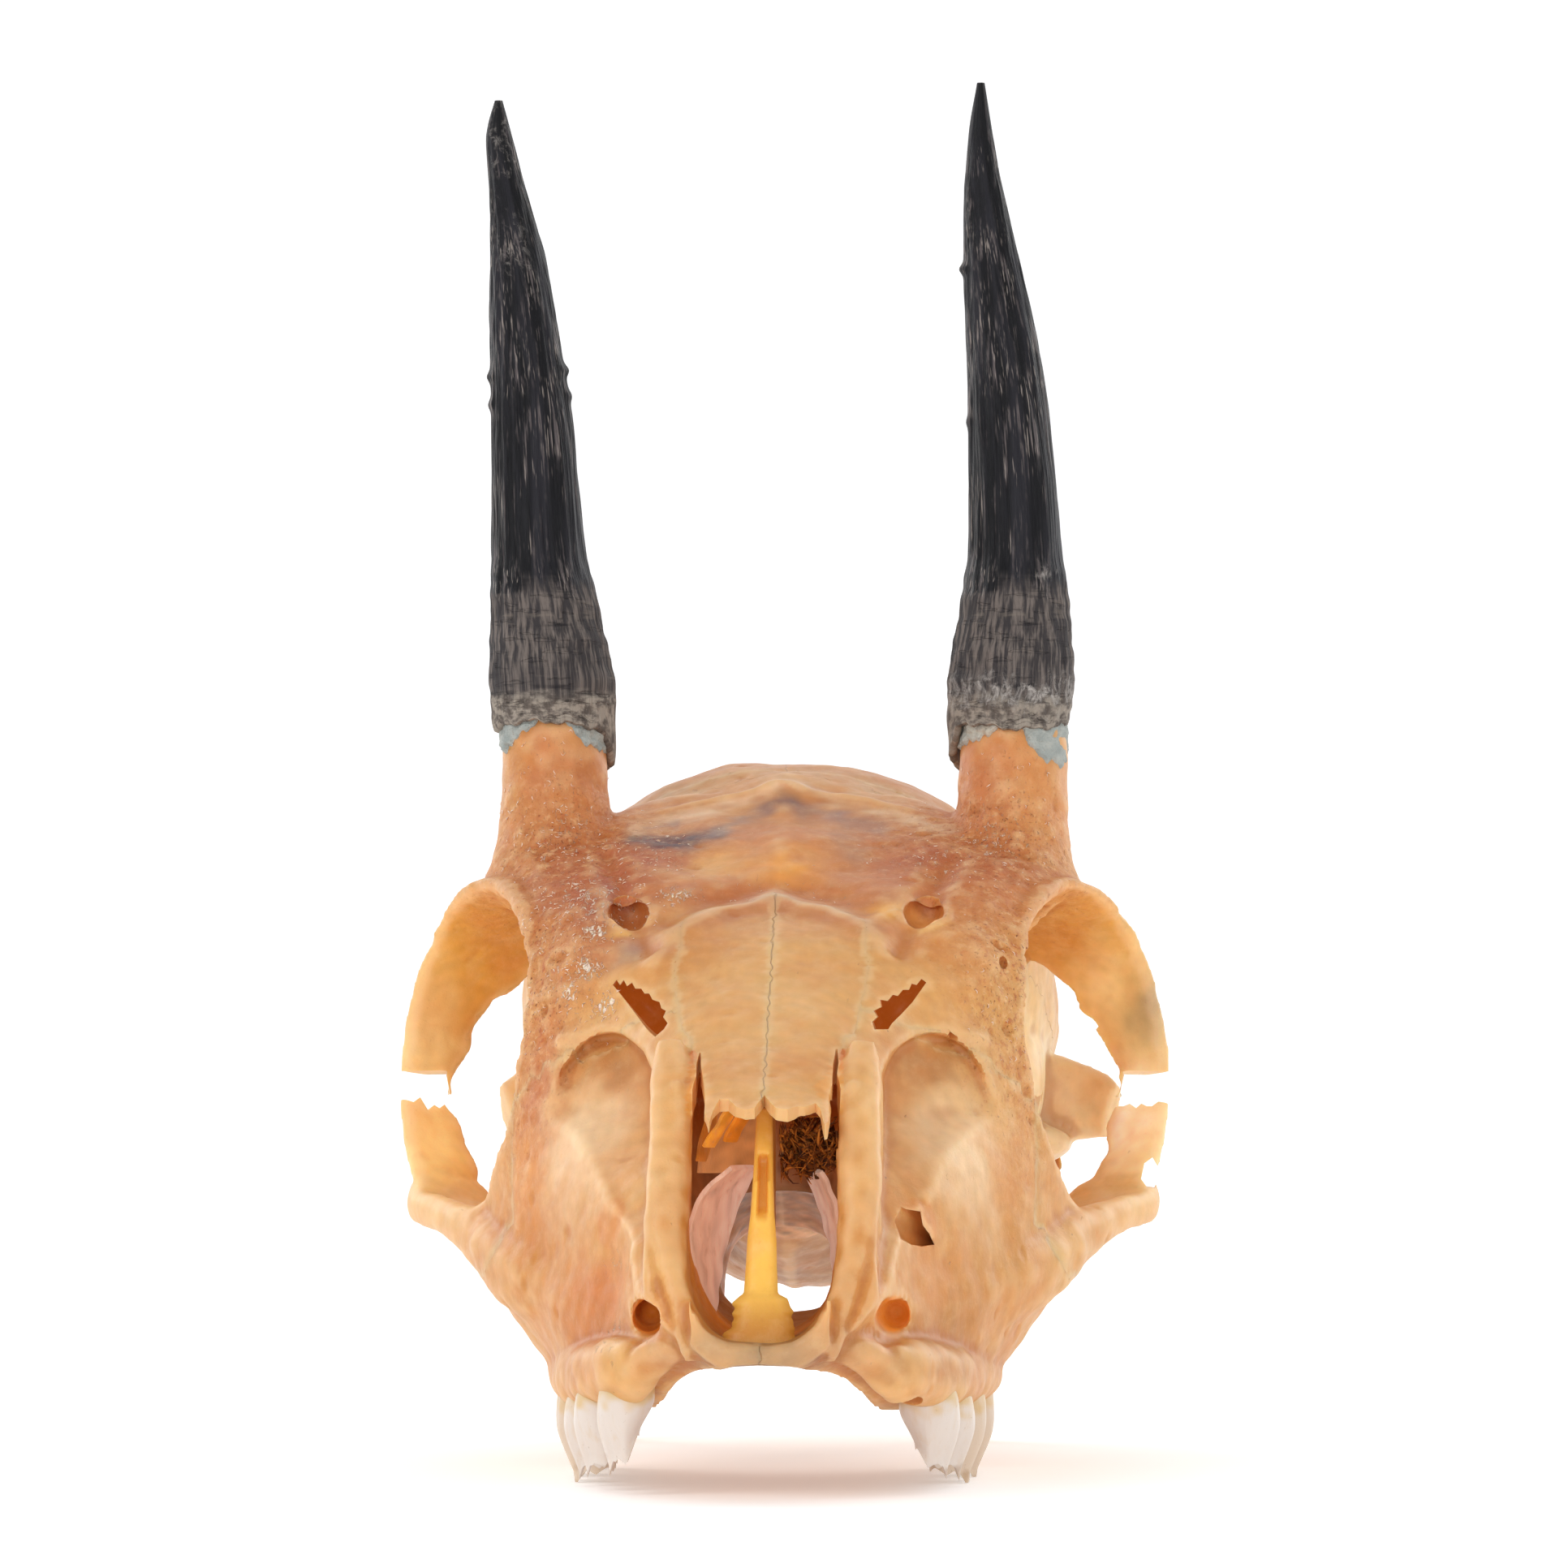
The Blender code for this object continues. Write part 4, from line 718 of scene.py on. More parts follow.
def smallHoles(where):
    # slits, nerve holes, breaks and ear holes, the hole for the spinal cord and the broken edge of the nose bones
    for word, side in sides.items():
        prism("slit", openings["slit"][word], 1, -40.0, -17.6, where)
        hollowBall(hollows[0], side, where)
        for name, (x, y, z), radii, fineness in openings["pairs"]:
            ball(name, (x * side, y, z), radii, where, around=fineness)
        breakSheet(word, side, where)
        inner, outer = noseGap[word]
        prism("noseGap", np.vstack([inner, outer[::-1]]) * [side, 1], 2, 27.5, 50.0, where)
    triangle = np.array(openings["cheekBreak"])
    depth = -36.6 + 2.3 * (triangle[:, 0] - 10.4) + 2.0  # follows the slope of the cheek, 2 mm below its surface
    prism("cheekBreak", triangle, 1, -50.0, depth, where)
    for name, centre, radii, fineness in openings["single"]:
        ball(name, centre, radii, where, around=fineness)
    prism("barNotch", openings["barNotch"], 1, -10.0, 14.0, where)
    form = bmesh.new()
    bmesh.ops.create_cone(form, cap_ends=True, segments=64, radius1=6.6, radius2=5.6, depth=14)
    place = Matrix.Translation((0, 51.0, 25.5)) @ Matrix.Rotation(math.radians(102), 4, "X")
    bmesh.ops.transform(form, matrix=place, verts=form.verts)
    put("cordHole", meshOf("cordHole", form), where)
    prism("noseEdge", openings["noseEdge"], 2, 19.0, 50.0, where)


sculpting = {
    # line, width, height; both says that the other side has the same
    "ridges": [
        (
            [
                [-9.6, -19.0, 42.0], [-8.0, -15.6, 44.4], [-4.6, -12.6, 46.4], [0.0, -10.6, 47.6], [4.4, -12.4, 46.6],
                [7.6, -15.0, 45.0], [9.3, -18.0, 43.0],
            ],
            0.95, 0.36, False,
        ),
        ([[0.0, -9.0, 48.2], [0.0, 2.0, 52.5], [0.0, 9.0, 55.8], [0.2, 14.0, 57.8]], 1.7, 0.35, False),
        (
            [
                [-15.0, 7.0, 53.0], [-11.5, 8.6, 54.2], [-8.0, 9.6, 55.2], [-4.0, 10.4, 56.4], [0.0, 11.2, 57.6],
                [4.0, 10.6, 56.6], [8.0, 9.6, 55.4], [12.0, 8.2, 54.0], [15.0, 6.6, 53.2],
            ],
            0.75, 0.55, False,
        ),
        ([[-1.2, 10.6, 57.0], [0.0, 11.4, 57.8], [1.3, 10.6, 57.0]], 0.7, 0.5, False),
        (
            [[14.2, -11.0, 47.2], [14.2, -12.2, 45.9], [12.4, -13.2, 45.0], [10.8, -13.0, 45.6], [10.2, -12.4, 46.6]],
            0.45, 0.35, True,
        ),
        ([[17.0, 14.0, 53.6], [14.4, 24.0, 56.2], [11.5, 34.0, 54.2], [9.5, 40.5, 49.6]], 0.8, 0.22, True),
        (
            [[9.8, -31.0, 35.2], [11.6, -27.5, 37.0], [13.7, -24.0, 37.6], [15.6, -21.0, 37.2], [17.2, -18.0, 36.0]],
            0.8, 0.45, True,
        ),
        ([[12.6, -20.0, 41.2], [15.4, -16.5, 40.2], [18.6, -13.4, 38.0], [20.4, -12.6, 33.0]], 1.2, 0.3, True),
        ([[24.2, -9.0, 19.2], [20.0, -16.5, 17.0], [16.4, -23.0, 15.6]], 1.4, 0.5, True),
        ([[7.0, -36.4, 32.6], [6.7, -39.6, 27.4], [7.0, -43.2, 21.6], [6.6, -46.0, 17.0]], 0.35, 0.22, True),
        ([[0.0, 38.0, 51.6], [0.0, 45.0, 47.0], [0.0, 49.5, 39.0], [0.0, 50.5, 33.0]], 0.8, 0.5, False),
        ([[0.0, 12.0, 24.0], [0.0, 24.0, 17.6], [0.0, 40.0, 13.6]], 0.9, 0.35, False),
    ],
    "grooves": [
        ([[12.6, -9.0, 47.6], [11.6, -13.0, 45.6], [10.4, -17.0, 43.4]], 1.2, 0.75, True),
        ([[12.8, -8.6, 48.4], [13.6, -5.0, 49.6], [14.4, -1.0, 50.6]], 1.1, 0.6, True),
        (
            [[-9.0, -13.0, 46.0], [-4.8, -9.4, 48.0], [0.0, -7.0, 49.4], [5.2, -9.4, 48.0], [9.0, -13.0, 46.0]], 1.5,
            0.7, False,
        ),
        ([[8.2, -41.5, 24.6], [8.0, -44.5, 19.0], [7.0, -47.8, 13.8]], 0.5, 0.3, True),
        ([[9.9, -36.0, 30.0], [10.2, -38.5, 25.0], [9.9, -41.0, 20.0]], 0.9, 0.5, True),
        ([[0.0, -50.0, 10.4], [0.0, -48.0, 11.0]], 0.4, 0.5, False),
    ],
    # centre, reach, height, both
    "swells": [
        ((0.0, 0.5, 52.0), (7.5, 4.0, 4.0), 0.8, False),
        ((16.5, -13.5, 42.0), (2.6, 3.0, 4.0), 0.9, True),
        ((14.5, -22.5, 24.0), (3.0, 5.0, 4.0), 0.6, True),
        ((0.0, 12.0, 57.6), (5.0, 3.0, 4.0), 0.4, False),
        ((8.9, -13.2, 46.0), (1.2, 1.6, 0.9), 0.8, False),
        ((7.5, 22.0, 58.4), (7.0, 8.0, 4.0), 0.5, True),
        ((13.4, -36.0, 18.0), (3.0, 4.0, 4.0), -0.5, False),
        ((-13.4, -36.0, 18.0), (3.0, 4.0, 4.0), -0.6, False),
        ((9.0, -41.5, 10.4), (2.6, 3.5, 2.4), -0.5, True),
    ],
    "kept": 0.02,  # what stays free between the bone and the box of the solids, and the table
}


def ruggedness(points):
    # 0 to 1: how spongy the bone is, most at the horn bases and along the upper rims of the eye sockets
    side = np.abs(points[:, 0])
    folded = np.column_stack([side, points[:, 1], points[:, 2]])
    base = near(folded, (17.0, 4.0, 50.0), (8.0, 9.0, 6.0))
    rim = near(folded, (20.5, -11.0, 42.0), (5.0, 7.0, 6.5))
    front = near(folded, (18.8, -13.0, 33.0), (4.0, 5.0, 9.0)) * 0.7
    return np.clip(base * 1.1 + rim + front, 0, 1)


def sculpt(obj):
    # every point moves along its normal by the sum of ridges, grooves, swells and random undulation
    points, normals = pointsOf(obj.data), normalsOf(obj.data)
    move = np.zeros(len(points))
    for sign, key in ((1, "ridges"), (-1, "grooves")):
        for line, width, height, both in sculpting[key]:
            margin = 3 * width + 2  # farther off the line is not felt
            for flip in flips(both):
                bent = np.array(line) * [flip, 1, 1]
                inside = ((points > bent.min(axis=0) - margin) & (points < bent.max(axis=0) + margin)).all(axis=1)
                move[inside] += sign * height * bell(nearLine(points[inside], bent), width)
    for centre, radii, height, both in sculpting["swells"]:
        for flip in flips(both):
            move += height * near(points, np.array(centre) * [flip, 1, 1], radii)
    calm = 1 - 0.75 * near(np.abs(points), (15.0, 100.0, 30.0), (6.0, 200.0, 6.0))  # smooth floor of the gland hollow
    undulation = 0.13 * wander(points, 8.0, 1) + 0.05 * wander(points, 2.6, 2)
    spongy = 0.07 * wander(points, 1.5, 3) - 0.34 * fade(wander(points, 1.9, 4), 0.95, 1.6)
    dents = 0.12 * fade(wander(points, 2.4, 5), 1.4, 2.0)
    move += undulation * calm + ruggedness(points) * spongy - dents
    widest = near(np.abs(points), (32.0, 0.0, 34.0), (3.0, 40.0, 40.0))
    move *= 1 - 0.8 * widest  # the widest places keep their size
    low, high = np.array(cadBox) * 1000 - np.array(lift)
    points = np.clip(points + normals * move[:, None], low + sculpting["kept"], high - sculpting["kept"])
    movePoints(obj, points)  # what it stands on is worn flat


melting = {
    "cube": 0.36,  # size of the little cubes that the forms are melted together with
    "soften": 0.5,  # share of the way to its neighbours that a point goes
    "times": 4,
}


def coreAt(heights):
    # sideways and backward place and radius of the core at some heights, smoothed through its table
    table = hornCore["stations"]
    return smoothThrough(table[:, 2], table[:, [0, 1, 3]], heights).T[:, :, None]


def coreRings(side, around=48, steps=30):
    # rings up the bony core of a horn, a little longer than wide
    heights = np.linspace(*hornCore["stations"][[0, -1], 2], steps)
    x, y, r = coreAt(heights)
    angle = roundAngles(around)[None, :]
    z = np.broadcast_to(heights[:, None], (steps, around))
    return np.stack([side * x + r * np.cos(angle), y + r * hornCore["deeper"] * np.sin(angle), z], axis=-1)


def wholeSkull(where):
    # rough masses, hollowed, given their struts, melted into one skin, sculpted, and pierced last
    masses = group("masses")
    ringBody("case", ovalRings(braincase["stations"], braincase["square"], braincase["square"], 80, 60), masses)
    for side in sides.values():
        ball("temple", (14.4 * side, 22.0, 33.0), (8.0, 11.0, 11.0), masses)
    skull = ringBody("skull", headRings(), where)
    combine(skull, masses, "UNION")
    hollow = group("hollow")
    cavities(hollow)
    combine(skull, hollow, "DIFFERENCE")
    struts = group("struts")
    for side in sides.values():
        orbitBand(side, struts)
        cheekAndArch(side, struts)
        nosePillar(side, struts)
        gumWedge(side, struts)
        gumRidge(side, struts)
        ringBody("core", coreRings(side), struts)
    skullBase(struts)
    combine(skull, struts, "UNION")
    throat = group("throat")
    passage = [
        [-24, 6.0, 12.5, 23.0], [-8, 5.8, 12.7, 23.4], [3, 5.2, 12.0, 23.0], [10, 4.8, 6.0, 20.0],
        [16, 4.6, 2.0, 17.0],
    ]
    tunnel("throat", passage, 3.0, 3.0, throat)
    for side in sides.values():
        hollowBall(hollows[1], side, throat)
        hollowBall(hollows[2], side, throat)
    combine(skull, throat, "DIFFERENCE")
    melt = skull.modifiers.new("Melt", "REMESH")
    melt.mode = "VOXEL"
    melt.voxel_size = melting["cube"]
    soften = skull.modifiers.new("Soften", "SMOOTH")
    soften.factor, soften.iterations = melting["soften"], melting["times"]
    bake(skull)
    keepLargest(skull)
    sculpt(skull)
    holes = group("holes")
    smallHoles(holes)
    combine(skull, holes, "DIFFERENCE")
    return skull


suture = {
    "step": 0.9,  # between two points of the cutting surface
    "reach": 0.42,  # how far the edge strays
    "wave": 1.8,  # length of its waves
    "across": 60.0,
}


def wavyPrism(name, outline, where, seed):
    # a side outline carried across in small steps, its points wandering a little from step to step as a suture does
    outline = np.asarray(outline, float)
    edges = []
    for a, b in zip(outline, np.roll(outline, -1, axis=0)):
        count = max(1, int(np.linalg.norm(b - a) / suture["step"]))
        edges.append(a + (b - a) * (np.arange(count) / count)[:, None])
    line = np.vstack(edges)
    places = np.linspace(-suture["across"], suture["across"], int(2 * suture["across"] / suture["step"]))
    grid = np.empty((len(places), len(line), 3))
    grid[..., 0], grid[..., 1:] = places[:, None], line[None]
    close = (np.abs(grid[..., 1]) < 60) & (np.abs(grid[..., 2]) < 70) & (grid[..., 2] > -8)  # far corners stay put
    grid[..., 1:] += suture["reach"] * np.where(close, wander(grid, suture["wave"], seed), 0)[..., None]
    return ringBody(name, grid, where)


def nasalBlock(side, where):
    # the space of one nose bone, running to a point at the back
    places = np.linspace(-60.0, -14.0, 60)
    width = smoothThrough([-42.0, -34.0, -24.0, -12.0], [5.3, 5.5, 7.6, 7.4], places)
    width = width + 0.12 * wanderAlong(places, 2.2, 31)
    outline = [(0.0, -60.0), *zip(width, places), (5.4, -12.2), (2.6, -11.0), (0.0, -9.8)]
    back = np.linspace(-9.8, -60.0, 60)[1:-1]
    x, y = np.vstack([outline, np.column_stack([side * 0.10 * wanderAlong(back, 1.3, 32), back])]).T
    slope = (46.8 - 30.0) / 30.0
    underside = 30.0 + slope * (y + 42.0)
    ringBody("nasalBlock", [np.column_stack([side * x, y, underside + rise]) for rise in (-2.1, 10.0)], where)


def jugalBlock(side, where):
    # the space of one cheekbone: outward of the bone that bears the teeth, below the snapped bar
    outline = np.array([
        [21.4, 31.0], [21.4, 21.0], [24.0, 17.0], [34.0, 12.0], [50.0, 12.0], [50.0, 33.0], [28.8, 33.0],
        [28.8, 31.0],
    ])
    places = np.linspace(-40.0, 20.0, 50)
    x, y = np.broadcast_arrays(outline[None, :, 0], places[:, None])
    z = np.broadcast_to(outline[None, :, 1], x.shape)
    shift = 0.4 * wander(np.stack([x, z, y], axis=-1), 2.4, 33)
    ringBody("jugalBlock", np.stack([side * (x + shift), y, z + shift], axis=-1), where)


def takeOff(rest, name, makeBlock):
    # what lies inside a block becomes a bone of its own, and the rest keeps what is outside
    block = group("block")
    makeBlock(block)
    taken = link(name, rest.data.copy())
    combine(taken, block, "INTERSECT", keep=True)
    combine(rest, block, "DIFFERENCE")
    keepLargest(taken)
    return taken


def partBones(skull):
    # one bone after another is taken off the whole skull, so that two neighbours share their suture
    bones = {}
    for word, side in sides.items():
        bones["nasal_" + word] = takeOff(skull, "nasal" + word.title(), lambda where: nasalBlock(side, where))
        bones["jugal_" + word] = takeOff(skull, "jugal" + word.title(), lambda where: jugalBlock(side, where))
    brow = [[-34.0, 42.0], [-22.0, 36.9], [-13.0, 31.0], [13.0, 31.0], [15.0, 31.0], [19.0, 90.0], [-34.0, 90.0]]
    bones["frontal"] = takeOff(skull, "foreheadBone", lambda where: wavyPrism("browBlock", brow, where, 34))
    case = [[13.0, -10.0], [80.0, -10.0], [80.0, 90.0], [13.0, 90.0]]
    bones["braincase"] = takeOff(skull, "caseOfBrain", lambda where: wavyPrism("caseBlock", case, where, 35))
    half = [[-80, -10], [80, -10], [80, 90], [-80, 90]]
    bones["maxilla_left"] = takeOff(skull, "maxillaLeft", lambda where: prism("halfBlock", half, 0, 0.03, 70, where))
    skull.name = "maxillaRight"
    keepLargest(skull)
    bones["maxilla_right"] = skull
    return bones


# colours of the bone, laid on as zones

def paint(red, green, blue):
    # a screen colour turned into light values
    value = np.array([red, green, blue]) / 255.0
    return np.where(value <= 0.04045, value / 12.92, ((value + 0.055) / 1.055) ** 2.4)


boneColours = {
    "pale": paint(220, 164, 100),
    "warm": paint(206, 136, 70),
    "cast": [1.0, 0.99, 0.84],  # red, green and blue of everything multiplied by these at the end
    # place, reach, screen colour, strength, and whether the other side has it too
    "zones": [
        ((0, 38, 34), (28, 16, 30), (216, 174, 126), 0.75, False),
        ((26, -8, 14), (9, 26, 7), (216, 166, 108), 0.5, True),
        ((0, 24, 56), (24, 16, 12), (206, 148, 104), 0.9, False),
        ((0, -1, 50), (28, 13, 7), (190, 112, 70), 0.95, False),
        ((-17, -20, 20), (6, 9, 5), (198, 120, 20), 0.98, False),
        ((17, -20, 20), (6, 9, 5), (200, 138, 64), 0.9, False),
        ((-14, -31, 13), (6, 10, 4), (196, 114, 28), 0.98, False),
        ((14, -31, 13), (6, 10, 4), (186, 120, 44), 0.95, False),
        ((-19, -16, 30), (2.0, 6, 9), (190, 96, 46), 0.9, False),
        ((16.5, 3, 50), (7, 8, 5), (178, 94, 56), 0.85, True),
        ((-16.5, -12, 43), (3.8, 6, 6.5), (176, 88, 52), 0.95, False),
        ((-15.0, -12, 45.6), (3.6, 4, 3.0), (170, 84, 52), 0.9, False),
        ((-14.5, -6, 49), (6, 7, 4), (172, 84, 54), 0.9, False),
        ((14.5, -6, 49.4), (6, 7, 4), (184, 98, 58), 0.7, False),
        ((16.5, -12, 43.5), (3.6, 6, 5), (198, 122, 76), 0.7, False),
        ((19, -13, 41), (3, 5, 5), (220, 162, 98), 0.6, True),
        ((-17.8, -13, 34), (2.2, 5, 8), (204, 122, 72), 0.7, False),
        ((0, -27, 38), (9.5, 12, 6.4), (224, 172, 116), 1.0, False),
        ((0, -15.5, 45.2), (6.5, 3.4, 2.6), (214, 154, 100), 0.85, False),
        ((0, -9.2, 48.2), (9, 3.0, 1.5), (180, 92, 52), 0.9, False),
        ((-0.6, -3.6, 50.8), (7.4, 5.0, 2.8), (218, 146, 84), 1.0, False),
        ((-6.0, -3.0, 50.6), (3.0, 4, 2.0), (228, 170, 110), 0.9, False),
        ((0.6, -4.0, 50.6), (1.6, 4, 1.6), (236, 160, 74), 0.9, False),
        ((0.2, 11.0, 58.0), (1.0, 2, 0.6), (214, 138, 86), 0.9, False),
        ((9.5, 15.0, 56.4), (5.5, 2.4, 1.2), (216, 178, 142), 0.6, True),
        ((19.5, 9.5, 59), (6, 6, 7), (204, 130, 78), 0.9, True),
        ((17, 8, 56), (2.6, 6, 6), (194, 110, 66), 0.7, True),
        ((-23.5, 8, 58), (3.4, 6, 7), (200, 140, 84), 0.95, False),
        ((-20.0, 6, 58), (3.0, 6, 7), (190, 112, 62), 0.8, False),
        ((23.0, 7, 57), (2.6, 6, 7), (210, 148, 100), 0.7, False),
        ((19.5, 17, 37), (4, 8, 10), (240, 206, 150), 0.9, True),
        ((22.5, 23, 29), (7, 5, 5), (244, 220, 188), 1.0, True),
        ((27, 10, 42), (7, 9, 8), (216, 158, 60), 0.95, True),
        ((27.0, 12, 40.5), (2.6, 8, 4), (252, 224, 170), 0.9, False),
        ((24.2, 11, 45.0), (3.2, 7, 2.8), (204, 136, 52), 0.9, True),
        ((30.6, 12, 35.6), (3.0, 8, 6), (238, 208, 152), 0.95, True),
        ((31.0, -6, 38), (2.4, 5, 10), (228, 166, 92), 0.8, True),
        ((29.6, 11, 27.0), (3.6, 9, 5), (244, 210, 148), 0.95, True),
        ((28.4, 11, 29.5), (2.8, 6, 4), (255, 244, 234), 1.0, False),
        ((22.0, 20, 33.2), (3.0, 9, 3), (250, 228, 196), 0.8, True),
        ((-27.0, 10, 24.8), (2.4, 6, 2), (250, 206, 132), 0.9, False),
        ((31.6, 6, 38.8), (1.9, 14, 2.6), (138, 112, 92), 1.0, False),
        ((28, 2, 22.8), (6, 8, 2.4), (224, 180, 124), 0.8, True),
        # paler paint on the gum by the first tooth, whose faces look down: painted light lifting their shade
        ((10.6, -40.5, 10.6), (2.8, 3, 2.4), (226, 172, 104), 0.9, True),
        # pale cream floor of the gland hollow: partly its colour, partly a painted highlight
        ((14.6, -23, 27.5), (4.8, 7, 6), (238, 204, 170), 0.95, True),
        # painted shadow: darker band under the overhanging upper rim of the gland hollow
        ((13.2, -23, 34.4), (4.4, 6, 2.2), (186, 126, 76), 0.95, True),
        ((12.4, -23, 37.6), (3.6, 5, 0.9), (222, 166, 112), 0.7, True),
        ((8.0, -37, 30), (1.8, 7, 8), (226, 172, 114), 0.9, True),
        ((6.0, -40, 22), (0.8, 8, 8), (206, 132, 56), 0.8, True),
        ((9.6, -38, 22), (1.0, 6, 6), (222, 184, 140), 0.6, True),
        ((-14.5, -34, 16.5), (5, 6, 2.6), (206, 116, 58), 0.8, False),
        ((13.6, -34, 16.5), (4, 6, 2.6), (212, 144, 84), 0.6, False),
        ((-19.5, -14, 25), (3, 6, 4), (222, 148, 72), 0.8, False),
        ((19.5, -14, 25), (3, 6, 4), (216, 150, 84), 0.6, False),
        ((0, -48, 11.6), (7.0, 5, 2.1), (98, 54, 18), 1.0, False),
        ((10.4, -42, 10.6), (2.2, 3, 1.8), (196, 140, 92), 0.7, False),
        ((0, -20, 10.2), (12, 22, 2.2), (166, 118, 98), 0.75, False),
        ((9.0, -12.4, 46.4), (1.3, 2.0, 0.9), (238, 172, 80), 0.95, False),
        ((12.4, -13.2, 45.0), (1.4, 1.6, 0.6), (240, 186, 108), 0.85, True),
        ((11.6, -33.0, 21.2), (2.0, 2.6, 2.0), (206, 142, 84), 0.9, False),
        ((0, 30, 14), (14, 18, 7), (152, 102, 52), 0.95, False),
        ((-11.8, -15.8, 42.6), (1.5, 2.0, 0.8), (150, 144, 138), 0.8, False),
    ],
    # line in the front view, reach, screen colour and strength, broken up into streaks; the first two lines are pale
    # painted sheen across the dome, the others are stains
    "stainsAndSheen": [
        ([[-12.4, 53.7], [-8.4, 54.7], [-5.2, 55.7], [-2.3, 56.6], [-0.6, 57.6]], 0.55, (238, 206, 182), 0.9),
        ([[0.4, 57.8], [2.6, 57.0], [5.2, 56.1], [8.5, 55.3], [12.0, 54.2], [14.5, 53.6]], 0.5, (224, 186, 158), 0.9),
        ([[3.0, 55.2], [5.6, 54.4], [8.6, 53.8]], 0.65, (146, 116, 118), 0.8),
        ([[5.0, 53.0], [6.6, 51.4]], 1.1, (172, 124, 102), 0.65),
        ([[-12.8, 52.9], [-10.4, 52.4], [-8.6, 52.3], [-7.0, 52.7], [-5.2, 53.3]], 0.65, (102, 82, 92), 0.95),
        ([[-9.8, 52.3], [-7.2, 52.7]], 0.6, (76, 64, 80), 0.9),
        ([[-11.4, 53.9], [-8.8, 54.1]], 0.35, (136, 108, 112), 0.8),
        ([[-5.4, 53.4], [-3.0, 54.6], [-1.2, 55.7]], 0.6, (150, 120, 116), 0.8),
        ([[-1.4, 55.4], [-0.2, 56.4], [1.0, 56.0], [2.0, 55.2]], 0.8, (116, 90, 98), 0.9),
        ([[-14.0, 51.6], [-11.0, 51.2], [-8.0, 51.0]], 0.9, (180, 100, 74), 0.8),
        ([[14.0, 51.6], [11.0, 51.0], [8.4, 50.2]], 0.9, (180, 100, 72), 0.7),
        ([[-6.5, 46.3], [-2.6, 47.3], [-0.3, 48.1], [2.2, 47.5], [6.0, 46.5]], 0.22, (226, 182, 156), 0.7),
        ([[-10.0, 45.0], [-5.0, 45.9], [0.0, 47.2], [5.0, 46.0], [10.0, 45.2]], 0.6, (192, 130, 102), 0.6),
        ([[-15.0, 43.0], [-11.0, 43.6], [-9.0, 43.4]], 1.2, (186, 118, 90), 0.7),
        ([[-17.0, 54.6], [-10.0, 58.4], [-2.0, 59.8], [6.0, 59.6], [14.0, 56.6]], 0.55, (202, 132, 84), 0.8),
    ],
}


def insideNose(points):
    # 1 on the walls of the nasal passage, fading out at its mouth
    half, _, roof = smoothThrough(nosePassage[:, 0], nosePassage[:, 1:], points[:, 1]).T
    depth = fade(points[:, 1], -44, -36) * (points[:, 1] < 20)
    return depth * (np.abs(points[:, 0]) < half + 0.25) * (points[:, 2] < roof + 0.25) * (points[:, 2] > 12.0)


def boneTint(points):
    # a slow wander between two colours, with each zone mixed in by its bell
    moved = shaken(points, 3.0, 40, 0.55)
    tint = blend(boneColours["pale"], boneColours["warm"], 0.5 + 0.35 * wander(points, 9.0, 50))
    for centre, reach, colour, strength, both in boneColours["zones"]:
        for flip in flips(both):
            tint = blend(tint, paint(*colour), strength * near(moved, np.array(centre) * [flip, 1, 1], reach))
    line2d = shaken(points, 2.2, 44, 0.16)[:, [0, 2]]
    streaks = np.clip(0.86 + 0.2 * wander(points * [0.10, 0.10, 0.8], 1.1, 53), 0.3, 1) * (moved[:, 1] < 24)
    # stains, and pale lines of painted sheen across the dome
    for line, reach, colour, strength in boneColours["stainsAndSheen"]:
        tint = blend(tint, paint(*colour), strength * bell(nearLine(line2d, line), reach) * streaks)
    for hollow in hollows:
        tint = blend(tint, paint(*hollow[5]), inHollow(points, hollow))
    place, height = points[:, 1], points[:, 2]
    inner = blend(paint(222, 148, 66), paint(186, 108, 44), fade(place, -38, -14))
    inner = blend(inner, paint(218, 96, 6), fade(height, 33, 36))
    back = fade(place, -20, -8) * fade(height, 16.5, 19) * (1 - fade(height, 25, 29))
    inner = blend(inner, paint(176, 124, 88) * (1 + 0.25 * wander(points, 1.4, 51))[:, None], back)
    tint = blend(tint, inner, insideNose(points) * 0.9)
    return np.clip(tint * boneColours["cast"] * (1 + 0.04 * wander(points, 1.2, 52))[:, None], 0, 1)


crust = [
    # where dried fibres and lime stick to the bone: centre, reach, strength
    ((-15.2, -16.2, 41.6), (1.5, 2.4, 1.6), 1.35),
    ((-13.8, -19.2, 38.9), (1.4, 2.2, 1.3), 1.5),
    ((-14.7, -13.6, 44.8), (1.5, 2.2, 1.5), 1.3),
    ((-8.0, -9.3, 48.0), (2.0, 2.6, 1.2), 1.3),
    ((-16.6, -16.8, 40.0), (1.2, 1.8, 1.5), 1.3),
    ((-12.4, -37.5, 16.4), (1.3, 2.4, 0.5), 1.4),
    ((-15.5, -8, 46.5), (4.5, 7, 5), 1.0),
    ((-16.0, -14, 40), (3.0, 5, 5), 0.9),
    ((-10.5, 0, 50), (4, 6, 3), 0.8),
    ((12, -1, 50), (5, 6, 3.4), 0.7),
    ((18, 2, 52), (5, 7, 6), 0.7),
    ((-18, 2, 52), (5, 7, 6), 0.6),
    ((-12.5, -38, 13), (2.6, 4, 2.6), 0.9),
    ((-12.5, -34, 18), (4, 5, 1.6), 0.6),
    ((9.6, -40, 15.5), (1.4, 3, 2.4), 0.6),
    ((17.5, -14, 36), (3, 5, 6), 0.5),
    ((0, -8, 48.6), (9, 3, 2.4), 0.5),
    ((19.5, 7, 59), (5, 6, 5), 0.35),
    ((-19.5, 7, 59), (5, 6, 5), 0.35),
]


def crustiness(points):
    # the greatest of the bells round the crusted places
    return np.max([strength * near(points, centre, reach) for centre, reach, strength in crust], axis=0)


